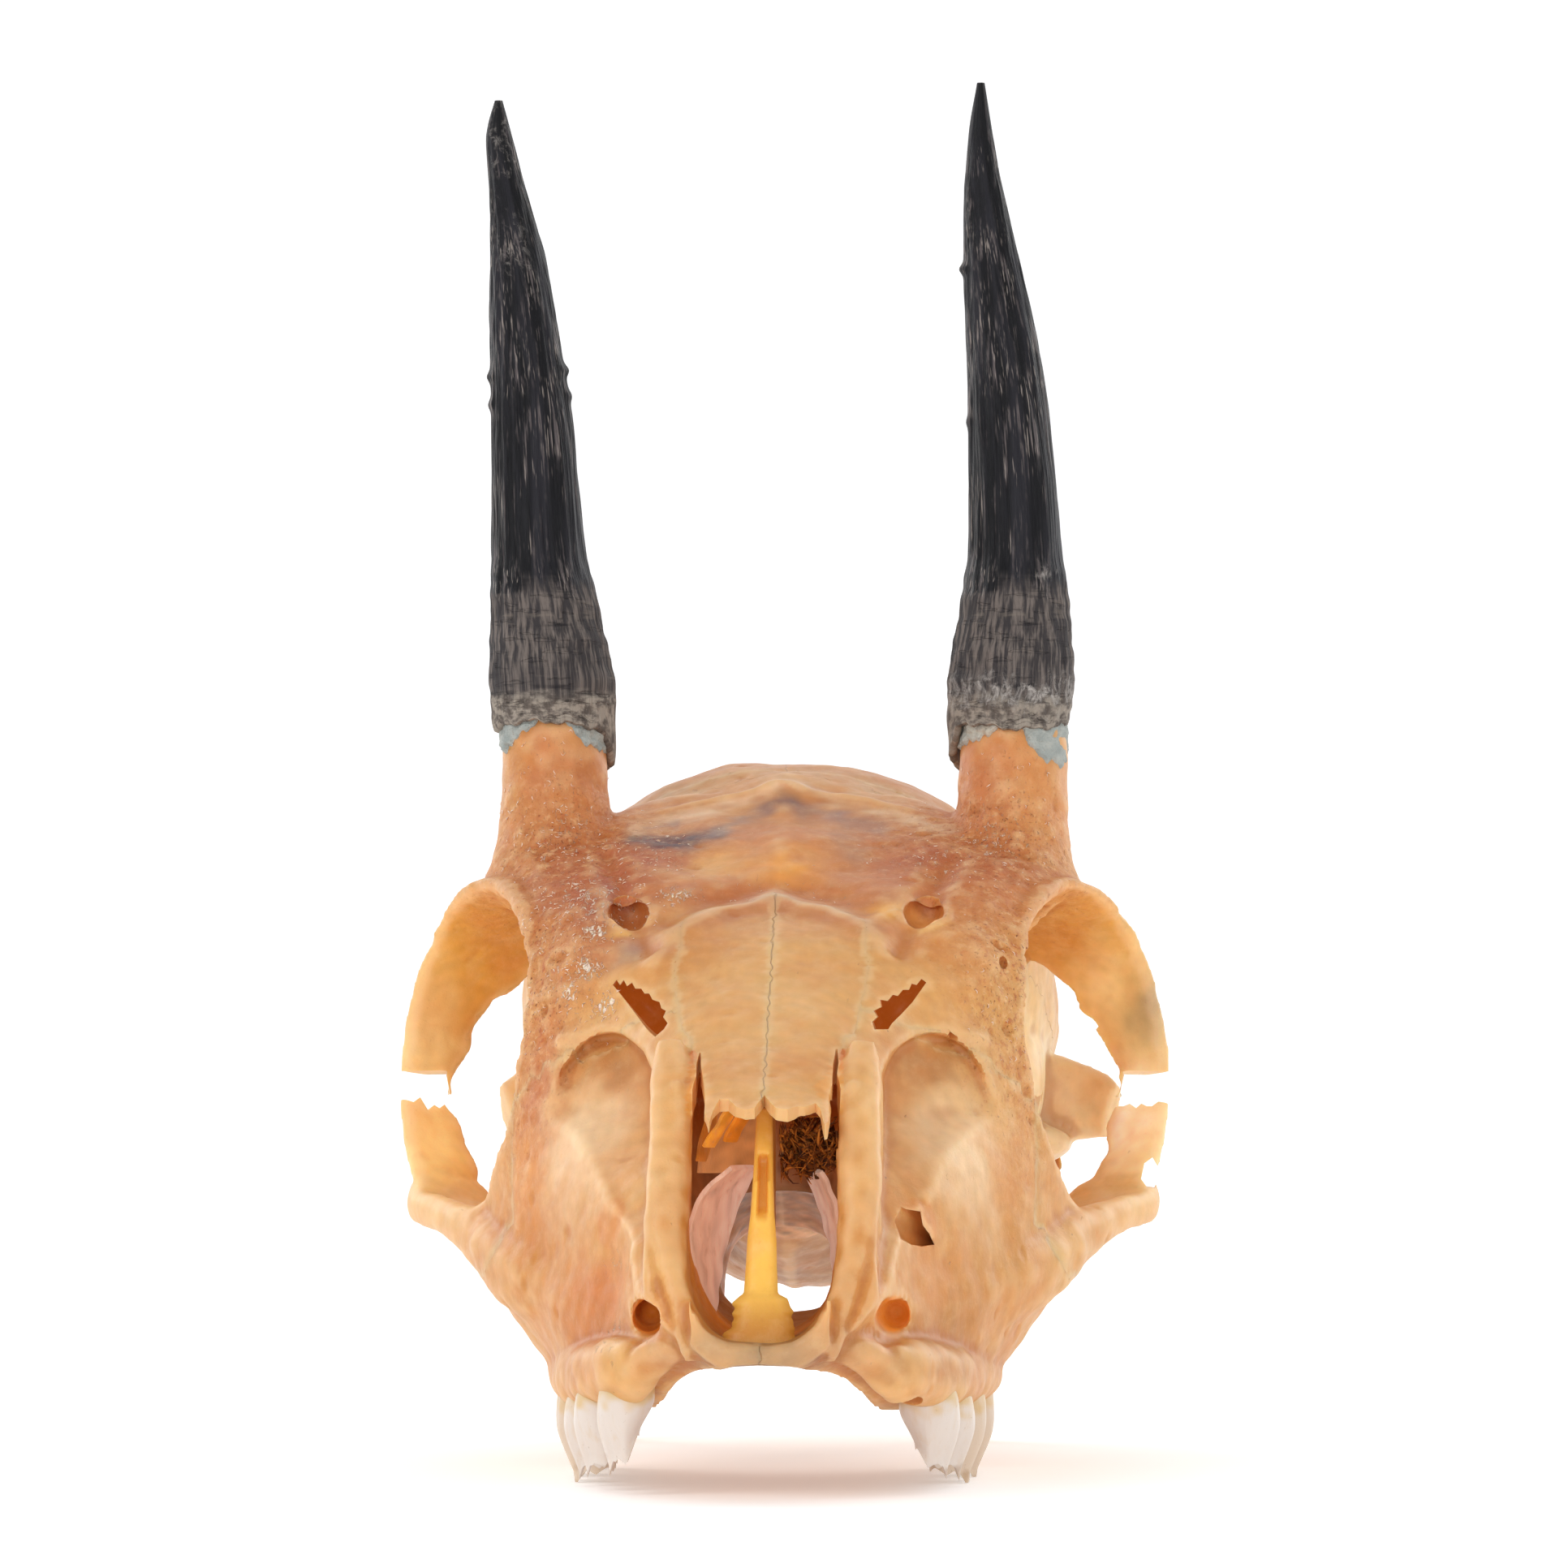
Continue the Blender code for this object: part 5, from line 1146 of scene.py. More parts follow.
def hollowness(mesh):
    # how far the neighbours of a point stand out in front of it, smoothed: above 0 in dents, below 0 on crests
    points, normals = pointsOf(mesh), normalsOf(mesh)
    a, b = edgesOf(mesh)
    count = len(points)
    share = np.bincount(a, minlength=count) + np.bincount(b, minlength=count)

    def around(values):
        return (np.bincount(a, values[b], count) + np.bincount(b, values[a], count)) / share

    value = sum((around(points[:, k]) - points[:, k]) * normals[:, k] for k in range(3))
    for _ in range(6):
        value = (value + around(value)) / 2
    return np.clip(value / 0.016, -1, 1)


def paintedGlowShare(points, normals):
    # 0 to 1: share of a painted glow, given off as emission in place of light coming through thin bone, in the nasal
    #         passage, on the inner faces of the eye sockets, inside the hollows and on the forward faces of the bars
    #         behind the sockets
    roof = fade(points[:, 2], 33, 36) * fade(points[:, 1], -24, -20)
    inside = insideNose(points) * (0.12 - 0.08 * fade(points[:, 2], 27, 31) + 0.12 * roof)
    folded = np.column_stack([np.abs(points[:, 0]), points[:, 1:]])
    facing = np.column_stack([normals[:, 0] * np.sign(points[:, 0]), normals[:, 1:]])
    toMiddle = np.array([24.0, -2.0, 35.0]) - folded
    toMiddle /= np.linalg.norm(toMiddle, axis=1, keepdims=True) + 1e-9
    turned = fade((facing * toMiddle).sum(axis=1), 0.1, 0.7)
    socket = turned * near(folded, (25.0, 1.0, 36.0), (9.5, 11.5, 12.5)) * 0.40
    for hollow in hollows:
        inside = np.maximum(inside, hollow[6] * inHollow(points, hollow))
    bars = near(folded, (30.4, 10.0, 29.0), (3.4, 9.0, 7.0)) * fade(-facing[:, 1], -0.2, 0.5) * 0.26
    return np.clip(np.maximum(np.maximum(inside, socket), bars), 0, 1)


def sutureLine(points):
    # signed distance to the nearest drawn suture, where a thin dark line is wanted
    x, y, z = points.T
    wiggle = 0.16 * wander(points, 1.4, 60)
    best = np.full(len(points), 9.0)
    lines = [
        (x + wiggle * 0.7, (y < -10) & (z > 28)),
        (x + wiggle, (y > 16) & (z > 40)),
        (y - 14.6 + wiggle * 3, (z > 44) & (np.abs(x) < 22) & (y > 8)),
        (y - 36.5 - 0.06 * np.abs(x) + wiggle * 3, (z > 42) & (y > 30)),
        (x + wiggle, (y < 4) & (z < 12.4)),
        (z - 38.0 + 0.55 * (y - 22) + wiggle * 2, (np.abs(x) > 16) & (y > 16) & (y < 38)),
        (y + 6.5 + wiggle * 2, (z < 12) & (np.abs(x) < 10.5)),
    ]
    for value, where in lines:
        value = np.where(where, value, 9.0)
        best = np.where(np.abs(value) < np.abs(best), value, best)
    return best


def layOn(obj, tint, **numbers):
    # colours and numbers kept on the points for the shader to read
    colour = obj.data.color_attributes.new("tint", "FLOAT_COLOR", "POINT")
    colour.data.foreach_set("color", np.column_stack([tint, np.ones(len(tint))]).ravel())
    for name, values in numbers.items():
        if values.ndim == 1:
            obj.data.attributes.new(name, "FLOAT", "POINT").data.foreach_set("value", values)
        else:
            obj.data.attributes.new(name, "FLOAT_VECTOR", "POINT").data.foreach_set("vector", values.ravel())


def smoothFaces(obj, angle=180.0):
    # soft shading, with sharp edges where two faces meet at more than the angle
    obj.data.polygons.foreach_set("use_smooth", np.ones(len(obj.data.polygons), bool))
    if angle < 180:
        obj.data.set_sharp_from_angle(angle=math.radians(angle))


def settle(obj, finish, slot, *nodes):
    # out of millimetres, its finish on, riding on the skull's one body
    obj.data.transform(toMetres)
    obj.data.update()
    obj.data.materials.clear()
    obj.data.materials.append(finish.material)
    for old in list(obj.users_collection):
        old.objects.unlink(obj)
    bpy.context.scene.collection.objects.link(obj)
    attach(obj, "root")
    if nodes:
        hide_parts(*nodes)


# finishes

class Wire:
    # a socket that can stand in a sum; each operator adds its own Math node
    def __init__(self, finish, socket):
        self.finish, self.socket = finish, socket

    def math(self, operation, *others):
        return self.finish.node("ShaderNodeMath", {"operation": operation}, others)

    def __add__(self, other):
        return self.math("ADD", self, other)

    def __sub__(self, other):
        return self.math("SUBTRACT", self, other)

    def __rsub__(self, other):
        return self.math("SUBTRACT", other, self)

    def __mul__(self, other):
        return self.math("MULTIPLY", self, other)

    __radd__, __rmul__ = __add__, __mul__


class Finish:
    # a material built one node at a time; node() takes a type, its settings, then the values or wires of its sockets
    def __init__(self, name, **fixed):
        self.material = bpy.data.materials.new(name)
        self.material.use_nodes = True
        self.tree = self.material.node_tree
        self.shader = self.tree.nodes["Principled BSDF"]
        for key, value in fixed.items():
            self.shader.inputs[key.replace("_", " ")].default_value = value

    def node(self, kind, settings=None, values=(), out=0):
        made = self.tree.nodes.new(kind)
        for key, value in (settings or {}).items():
            setattr(made, key, value)
        for key, value in (values.items() if isinstance(values, dict) else enumerate(values)):
            if isinstance(value, Wire):
                self.tree.links.new(value.socket, made.inputs[key])
            else:
                made.inputs[key].default_value = value
        return Wire(self, made.outputs[out])

    def layers(self, colour, *coats):
        # each coat is a share and a colour, laid over what is there
        for share, over in coats:
            colour = self.mix(share, colour, over)
        return colour

    def attribute(self, name, out="Fac"):
        return self.node("ShaderNodeAttribute", {"attribute_name": name}, out=out)

    def place(self):
        # object coordinates in millimetres
        spot = self.node("ShaderNodeTexCoord", out="Object")
        return self.node("ShaderNodeVectorMath", {"operation": "SCALE"}, {0: spot, "Scale": 1000.0})

    def stretched(self, spot, x, y, z):
        # coordinates multiplied axis by axis; less than 1 draws a pattern out along that axis
        return self.node("ShaderNodeVectorMath", {"operation": "MULTIPLY"}, (spot, (x, y, z)))

    def noise(self, spot, scale, detail=3.0, rough=0.55, twist=0.0):
        return self.node(
            "ShaderNodeTexNoise", None,
            {"Vector": spot, "Scale": scale, "Detail": detail, "Roughness": rough, "Distortion": twist},
        )

    def step(self, value, low, high):
        # 0 below low, 1 above high, an S curve between them
        return self.node(
            "ShaderNodeMapRange", {"interpolation_type": "SMOOTHSTEP"},
            {"Value": value, "From Min": low, "From Max": high},
        )

    def mix(self, share, under, over):
        # straight mix of two colours, given as wires or as light values
        under, over = [c if isinstance(c, Wire) else (*c, 1.0) for c in (under, over)]
        return self.node("ShaderNodeMix", {"data_type": "RGBA"}, {0: share, 6: under, 7: over}, out=2)

    def addPaintedGlow(self, share, light, strength):
        # painted glow in place of light coming through thin bone: a colour let in by the given share is given off as
        # emission
        self.tree.links.new(self.mix(share, (0.0, 0.0, 0.0), light).socket, self.shader.inputs["Emission Color"])
        self.shader.inputs["Emission Strength"].default_value = strength

    def finish(self, colour, roughness, height, distance, strength=1.0):
        # links the colour, the roughness and a bump of the given height in metres
        self.tree.links.new(colour.socket, self.shader.inputs["Base Color"])
        self.tree.links.new(roughness.socket, self.shader.inputs["Roughness"])
        bump = self.node("ShaderNodeBump", None, {"Strength": strength, "Distance": distance, "Height": height})
        self.tree.links.new(bump.socket, self.shader.inputs["Normal"])
        return self


def boneFinish():
    # clouds, grain, darker dents and paler crests, pores, lime, specks and sutures over the tint, a painted glow, and a
    # bump of the same patterns
    made = Finish(
        "oldBone", Subsurface_Weight=0.3, Subsurface_Radius=(1.0, 0.46, 0.18), Subsurface_Scale=0.0016,
        Specular_IOR_Level=0.42,
    )
    spot = made.place()
    rugged, crusted, seam = made.attribute("rugged"), made.attribute("crust"), made.attribute("seam")
    hollow, glow = made.attribute("hollow"), made.attribute("glow")
    broad, cloud = made.noise(spot, 0.17, 3.0, 0.5, 0.5), made.noise(spot, 0.36, 5.0, 0.58, 0.25)
    fine, grit = made.noise(spot, 1.5, 5.0, 0.62), made.noise(spot, 3.4, 4.0, 0.6)
    pores = made.step(grit, 0.62, 0.68) * (0.05 + rugged * 0.85)
    drawn = made.stretched(spot, 1.0, 0.5, 0.5)
    flecks = made.step(made.noise(drawn, 2.9, 5.0, 0.70, 0.8) + crusted * 0.15, 0.68, 0.74)
    spots = made.step(made.noise(spot, 0.8, 2.0), 0.76, 0.80) * made.step(grit, 0.5, 0.6)
    line = made.step(seam.math("ABSOLUTE", seam) + fine * 0.1, 0.13, 0.05)
    colour = made.layers(
        made.attribute("tint", "Color"),
        (made.step(broad, 0.46, 0.66) * 0.26, paint(214, 134, 62)),
        (made.step(cloud, 0.48, 0.74) * 0.16, paint(248, 212, 158)),
        (made.step(cloud, 0.47, 0.26) * 0.14, paint(206, 120, 50)),
        (made.step(fine, 0.53, 0.66) * (0.04 + rugged * 0.60), paint(176, 78, 34)),
        (made.step(fine, 0.47, 0.33) * (0.06 + rugged * 0.42), paint(244, 200, 146)),
        (made.step(hollow, 0.06, 1.0) * 0.42, paint(180, 94, 26)),
        (made.step(hollow, -0.10, -1.0) * 0.30, paint(248, 212, 160)),
        (pores, paint(132, 54, 20)),
        (flecks * (0.20 + crusted * 0.70), paint(248, 226, 204)),
        (spots * 0.6, paint(96, 66, 46)),
        (line * 0.30, paint(160, 98, 52)),
    )
    # painted glow: the finished colour is given off as emission, by the painted glow share on each point
    made.addPaintedGlow(glow, colour, 1.0)
    height = fine * (0.15 + rugged * 1.1) + grit * (0.05 + rugged * 0.6) - pores * 0.6 + flecks * 0.5 - line * 0.3
    return made.finish(colour, 0.30 + fine * 0.22 + rugged * 0.2 + flecks * 0.2, height, 0.00028, 0.9)


def enamelFinish():
    # pale bands down the crown and brown specks over the tint
    made = Finish(
        "toothEnamel", Subsurface_Weight=0.2, Subsurface_Radius=(0.9, 0.8, 0.7), Subsurface_Scale=0.0010,
        Coat_Weight=0.25, Coat_Roughness=0.2,
    )
    spot = made.place()
    bands, fine = made.noise(made.stretched(spot, 1.0, 1.0, 0.22), 1.4, 4.0), made.noise(spot, 3.4, 4.0)
    colour = made.layers(
        made.attribute("tint", "Color"),
        (made.step(bands, 0.5, 0.75) * 0.35, paint(214, 186, 150)),
        (made.step(fine, 0.66, 0.74) * 0.35, paint(150, 112, 78)),
    )
    return made.finish(colour, 0.24 + fine * 0.2, bands * 0.6 + fine * 0.2, 0.00012, 0.6)


def hornFinish():
    # black fibres along the horn, a grey ringed base, a worn rim, chalky patches and a beige lining
    made = Finish("hornSheath", Specular_IOR_Level=0.2)
    wrap = made.attribute("wrap", "Vector")
    height, pale = made.attribute("height"), made.attribute("pale")
    wide = made.noise(made.stretched(wrap, 1.0, 1.0, 0.04), 0.8, 4.0)
    thin = made.noise(made.stretched(wrap, 1.0, 1.0, 0.013), 3.4, 4.0, 0.55)
    hair = made.noise(made.stretched(wrap, 1.0, 1.0, 0.010), 6.4, 2.0)
    rings = made.noise(made.stretched(wrap, 0.12, 0.12, 1.0), 1.1, 5.0, 0.6)
    patch = made.noise(made.stretched(wrap, 1.0, 1.0, 0.35), 0.5, 4.0)
    base = made.step(height + patch * 5.0 + rings * 1.4, 18.6, 16.6)
    rim = made.step(height + rings * 1.6 + patch * 2.0, 7.7, 6.5)
    worn = made.noise(made.stretched(wrap, 1.0, 1.0, 1.6), 0.9, 5.0, 0.65)
    dusty = made.noise(made.stretched(wrap, 1.0, 1.0, 0.6), 1.1, 7.0, 0.75, 0.6)
    chalk = made.step(dusty + pale * 0.20, 0.60, 0.80)
    grey = made.layers(
        made.mix(made.step(thin, 0.40, 0.66), paint(58, 54, 55), paint(118, 108, 102)),
        (made.step(rings, 0.54, 0.64) * made.step(patch, 0.35, 0.6) * 0.75, paint(28, 26, 30)),
        (made.step(rings, 0.43, 0.33) * made.step(wide, 0.45, 0.6) * 0.35, paint(140, 128, 116)),
        (rim * 0.75, made.mix(made.step(worn, 0.40, 0.60), paint(100, 90, 82), paint(176, 164, 150))),
    )
    beige = made.mix(made.step(patch, 0.4, 0.6), paint(176, 160, 138), paint(122, 106, 90))
    colour = made.layers(
        made.mix(made.step(wide, 0.40, 0.70), (0.0020, 0.0020, 0.0035), paint(34, 33, 39)),
        (made.step(thin, 0.54, 0.66) * made.step(patch, 0.38, 0.58) * 0.85, paint(96, 88, 88)),
        (made.step(hair, 0.57, 0.66) * made.step(patch, 0.46, 0.62) * 0.6, paint(170, 158, 150)),
        (base * 0.92, grey),
        (chalk * pale * 0.9, paint(196, 188, 182)),
        (made.attribute("lining") * 0.9, beige),
    )
    crack = made.step(made.noise(made.stretched(wrap, 0.16, 0.16, 1.0), 2.2, 2.0), 0.62, 0.66) * base
    relief = wide * 0.5 + thin * 0.8 + hair * 0.3 - crack * 0.8 + chalk * pale * 0.5
    return made.finish(colour, 0.40 + base * 0.3 + thin * 0.14, relief, 0.00028, 0.9)


def puttyFinish():
    # paler and darker grey in slow patches
    made = Finish("greyPutty", Specular_IOR_Level=0.35)
    spot = made.place()
    slow, fine = made.noise(spot, 0.9, 4.0), made.noise(spot, 3.6, 4.0)
    colour = made.layers(
        made.attribute("tint", "Color"),
        (made.step(slow, 0.35, 0.65) * 0.55, paint(192, 192, 184)),
        (made.step(fine, 0.58, 0.70) * 0.5, paint(128, 118, 102)),
    )
    return made.finish(colour, 0.55 + fine * 0.2, slow * 0.8 + fine * 0.6, 0.0003, 0.9)


def membraneFinish():
    # brownish veins, with a painted glow given off as emission in place of light coming through
    made = Finish("thinNasalPlate", Subsurface_Weight=0.5, Subsurface_Radius=(1.0, 0.7, 0.6), Subsurface_Scale=0.002)
    veins = made.noise(made.stretched(made.place(), 1.0, 0.5, 0.3), 1.8, 5.0)
    colour = made.mix(made.step(veins, 0.5, 0.72) * 0.35, made.attribute("tint", "Color"), paint(160, 120, 88))
    made.addPaintedGlow(0.85 + veins * 0.3, colour, 0.34)
    return made.finish(colour, 0.34 + veins * 0.2, veins, 0.00015, 0.7)


def fluffFinish(name, dark, light):
    # dull, in patches of two colours
    made = Finish(name)
    patch = made.noise(made.place(), 1.6, 2.0)
    return made.finish(made.mix(made.step(patch, 0.35, 0.65), dark, light), 0.7 + patch * 0.2, patch, 0.0001, 0.5)


bone = boneFinish()
enamel = enamelFinish()
print("finishes for bone and teeth made")


# teeth

cheekTeeth = {
    # place along the row, out from the middle, length, width, gum line, biting tips, cusps, inner side lower by
    "rows": [
        (-37.4, 10.9, 5.7, 4.3, 8.2, 1.7, 1, 3.0),
        (-31.6, 12.9, 6.0, 4.6, 7.6, 1.1, 1, 2.2),
        (-25.6, 13.6, 6.2, 5.4, 7.0, 0.7, 1, 1.6),
        (-18.4, 14.2, 8.3, 6.4, 6.7, -0.15, 2, 1.2),
        (-9.9, 14.6, 8.8, 6.8, 6.6, -0.2, 2, 1.2),
        (-1.4, 14.4, 8.2, 6.2, 6.8, 0.15, 2, 1.2),
    ],
    "lost": ("left", 0),
    "root": 3.0,  # how far above the gum line a tooth begins
    # rings of the hollow biting face: share of the rim, and how deep it lies
    "face": [(0.9, 0.15), (0.74, 0.55), (0.55, 0.9), (0.32, 0.75), (0.05, 0.5)],
    "flat": 0.02,  # tips are worn flat at this height
}


def toothRings(place, out, length, width, gum, tip, cusps, inner, side, around=72, steps=40):
    # rounded column with ribs on the cheek side, swelling below the gum, its rim rising and falling with the cusps
    angle = roundAngles(around)[None, :]
    c, s = np.cos(angle), np.sin(angle)
    level = np.linspace(0, 1, steps)[:, None]
    swell = 0.80 + 0.26 * np.sin(math.pi * np.minimum(1.0, level * 1.1)) - 0.12 * level**2
    cheek, tongue = np.clip(s, 0, 1), np.clip(-s, 0, 1)
    ribs = 0.10 * np.cos(2 * math.pi * cusps * (c + 1) / 2 + math.pi) * cheek * fade(level, 0.2, 0.6)
    ribs = ribs - (0.16 * bell(c, 0.16) * tongue + 0.10 * bell(c, 0.12) * cheek) * (cusps > 1)
    taper = 1 - 0.34 * fade(level, 0.55, 1.0) * (0.4 + 0.6 * tongue)
    x = signedPower(s, 0.86) * width / 2 * swell * (1 + ribs) * taper
    y = signedPower(c, 0.86) * length / 2 * swell * (1 - 0.25 * fade(level, 0.6, 1.0) * (cusps < 2))
    cusp = 0.5 - 0.5 * np.cos(2 * math.pi * cusps * (c + 1) / 2)
    chips = 0.16 * np.sin(7 * angle + place) + 0.1 * np.sin(13 * angle + out)
    biting = tip + 1.7 * (1 - cusp) * (0.5 + 0.5 * cheek) + inner * tongue**0.8 + chips * cheek
    root = gum + cheekTeeth["root"]
    z = root + (biting - root) * level
    rings = list(np.stack([side * (out + x), place + y, np.broadcast_to(z, x.shape)], axis=-1))
    last = rings[-1]
    centre = np.array([side * out, place, tip + 3.0])
    for share, deep in cheekTeeth["face"]:
        inward = last + (centre - last) * [1 - share, 1 - share, 0]
        middle = 0.6 * centre[2] + 0.4 * last[:, 2].mean()
        inward[:, 2] = last[:, 2] * share + middle * (1 - share) + deep * 0.8
        rings.append(inward)
    return np.array(rings)


def toothTint(points, gum, tip):
    # white crown, honey tartar towards the gum, brown on the worn tips
    z = points[:, 2]
    rough = 0.5 * wander(points, 1.6, 70)
    tint = np.repeat(paint(222, 210, 200)[None, :], len(points), axis=0)
    tint = blend(tint, paint(216, 180, 116), fade(z + rough, gum - 1.4, gum + 0.2) * 0.85)
    return blend(tint, paint(168, 140, 116), (1 - fade(z + rough, tip + 0.1, tip + 1.1)) * 0.75)


def makeTeeth():
    # every tooth of a side but the lost one, joined into one piece; the rear ones are yellower
    for word, side in sides.items():
        joined = bmesh.new()
        for number, sizes in enumerate(cheekTeeth["rows"]):
            if (word, number) == cheekTeeth["lost"]:
                continue
            tooth = ringBody("tooth", toothRings(*sizes, side))
            points = pointsOf(tooth.data)
            points[:, 2] = np.maximum(points[:, 2], cheekTeeth["flat"])
            movePoints(tooth, points)
            yellow = 0.35 * (sizes[0] > -20)
            layOn(tooth, blend(toothTint(points, sizes[4], sizes[5]), paint(206, 168, 112), yellow))
            joined.from_mesh(tooth.data)
            bpy.data.objects.remove(tooth, do_unlink=True)
        name = "teeth" + word.title()
        teeth = link(name, meshOf(name, joined))
        smoothFaces(teeth, 60)
        settle(teeth, enamel, "bone", "maxilla_" + word)


# inside of the nose

def boneNumbers(points, glow):
    # what the bone finish reads, for a piece without seams
    zeros = np.zeros(len(points))
    worn = {"rugged": ruggedness(points), "crust": crustiness(points)}
    return {**worn, "seam": zeros + 9.0, "hollow": zeros, "glow": zeros + glow}


vomerPlate = {
    # height, half width of the front bar, place of its front
    "front": np.array([
        [11.2, 3.3, -48.6], [12.2, 3.2, -48.4], [13.4, 2.9, -48.0], [14.8, 2.4, -47.4], [15.9, 2.1, -47.0],
        [16.3, 1.35, -46.6], [18.4, 1.22, -45.4], [20.4, 1.15, -44.2], [22.4, 0.95, -43.0], [25.0, 0.82, -41.4],
        [28.0, 0.72, -39.4], [30.6, 0.62, -37.6],
    ]),
    "back": -15.0,
    "thin": 0.34,  # half thickness of the plate behind the bar
    # outward share and depth of the points across the front bar
    "across": [-1.0, -0.82, -0.55, -0.3, 0.0, 0.3, 0.55, 0.82, 1.0],
    "depth": [0.9, 0.3, 0.08, 0.0, 0.0, 0.0, 0.08, 0.3, 0.9],
}


def makeVomer():
    # front bar with a slot down its middle, thinning at once to a plate that runs back; ragged foot
    table = vomerPlate["front"]
    heights = np.linspace(table[0, 0], table[-1, 0], 120)
    half, front = np.stack([np.interp(heights, table[:, 0], table[:, k]) for k in (1, 2)])
    spread = fade(half, 1.3, 2.4)
    halves = [
        half + spread * (0.24 * wanderAlong(heights, 2.3, seed) + 0.10 * wanderAlong(heights, 0.7, seed + 1))
        for seed in (81, 86)
    ]
    slot = 0.9 * fade(heights, 21.8, 23.0) * (1 - fade(heights, 26.4, 27.4))
    bar = list(zip(vomerPlate["across"], vomerPlate["depth"]))
    back = vomerPlate["back"]
    rings = []
    for z, low, high, y, s in zip(heights, *halves, front, slot):
        row = [[(high if a > 0 else low) * a, y + d + s * (abs(a) < 0.5) * 1.2, z] for a, d in bar]
        thin = min(low, high, vomerPlate["thin"])
        row += [[thin, y + 2.2, z], [thin, y + 8.0, z], [0.3, back - 4, z], [0.0, back, z]]
        row += [[-0.3, back - 4, z], [-thin, y + 8.0, z], [-thin, y + 2.2, z]]
        rings.append(row)
    vomer = ringBody("vomerPlate", rings)
    points = pointsOf(vomer.data)
    place, height = points[:, 1], points[:, 2]
    tint = blend(paint(236, 182, 78), paint(192, 120, 44), fade(place, -44, -30))
    tint = blend(tint, paint(192, 118, 36), fade(height, 17.0, 13.0) * 0.8)
    inSlot = fade(height, 21.6, 22.8) * (1 - fade(height, 26.6, 27.6)) * (np.abs(points[:, 0]) < 0.45)
    tint = blend(tint, paint(196, 118, 24), inSlot * 0.7)
    tint = blend(tint, paint(196, 128, 50), fade(height, 26, 30) * 0.35)
    # painted glow on the vomer, growing from 14 to 19 mm up
    layOn(vomer, tint, **boneNumbers(points, 0.20 * fade(height, 14, 19)))
    smoothFaces(vomer, 50)
    settle(vomer, bone, "bone", "vomer")


def curledPlate(name, rows, thick, ripple, seed):
    # sheet between a front edge and a rear edge, given at a few heights, bowed between them and thickened by an offset
    table = np.array(rows, float)  # height, front x, front y, rear x, rear y, bow
    heights = np.linspace(table[0, 0], table[-1, 0], 60)
    fx, fy, rx, ry, bow = smoothThrough(table[:, 0], table[:, 1:], heights).T[:, :, None]
    across = np.linspace(0, 1, 24)[None, :]
    x = fx + (rx - fx) * across + bow * np.sin(math.pi * across)
    y = fy + (ry - fy) * across
    z = np.broadcast_to(heights[:, None], x.shape)
    sheet = np.stack([x, y, z], axis=-1)
    sheet[..., 0] += ripple * wander(sheet, 2.0, seed)
    du, dv = np.gradient(sheet, axis=0), np.gradient(sheet, axis=1)
    normal = np.cross(du, dv)
    normal /= np.linalg.norm(normal, axis=-1, keepdims=True)
    edge = thick / 2 * (0.35 + 0.65 * np.sin(math.pi * np.clip(across, 0.02, 0.98)) ** 0.3)
    a, b = sheet + normal * edge[..., None], sheet - normal * edge[..., None]
    return ringBody(name, np.concatenate([a, b[:, ::-1]], axis=1))


nosePlates = {
    # rows of height, front x, front y, rear x, rear y and bow; the node it stands for
    "plates": {
        "turbinateRight": (
            [
                [13.6, -5.0, -37.0, -4.3, -32.0, 0.0], [16.0, -5.6, -36.6, -4.0, -31.0, -0.1],
                [19.5, -6.0, -36.0, -3.4, -30.0, -0.3], [22.0, -5.8, -35.6, -2.7, -29.4, -0.3],
                [24.4, -4.6, -35.2, -1.7, -29.0, -0.3], [25.9, -2.8, -34.8, -0.9, -29.0, -0.1],
            ],
            "turbinate_right",
        ),
        "turbinateLeft": (
            [
                [13.6, 5.6, -34.0, 5.3, -29.0, 0.1], [18.0, 6.1, -34.0, 5.3, -29.0, 0.2],
                [21.0, 5.9, -34.0, 4.7, -29.0, 0.3], [23.5, 5.4, -34.0, 3.9, -29.0, 0.2],
                [25.6, 4.4, -34.0, 3.0, -29.0, 0.1],
            ],
            "turbinate_left",
        ),
    },
    # the same rows, and a colour
    "slips": {
        "upperSlipA": (
            [
                [27.6, -4.9, -35.0, -4.2, -33.0, 0.2], [29.2, -4.0, -35.6, -3.2, -33.4, 0.3],
                [31.0, -2.6, -36.0, -2.0, -34.0, 0.1],
            ],
            paint(226, 150, 50),
        ),
        "upperSlipB": (
            [
                [28.0, -3.4, -34.0, -2.6, -31.6, 0.2], [29.4, -2.6, -34.6, -1.8, -32.0, 0.2],
                [31.6, -1.6, -35.0, -1.1, -33.0, 0.1],
            ],
            paint(206, 128, 36),
        ),
        "upperSlipC": (
            [
                [26.4, -5.6, -33.0, -5.0, -30.0, 0.1], [28.4, -5.2, -33.0, -4.4, -30.0, 0.2],
                [30.6, -4.6, -33.4, -4.0, -30.6, 0.1],
            ],
            paint(176, 110, 40),
        ),
        "backPlate": (
            [
                [25.4, -5.6, -30.0, -1.0, -27.0, 0.0], [28.0, -5.2, -30.0, -0.9, -27.5, 0.2],
                [31.5, -4.6, -30.0, -0.9, -28.0, 0.2],
            ],
            paint(196, 140, 84),
        ),
    },
    "plateThick": 0.55,
    "slipThick": 0.4,
}


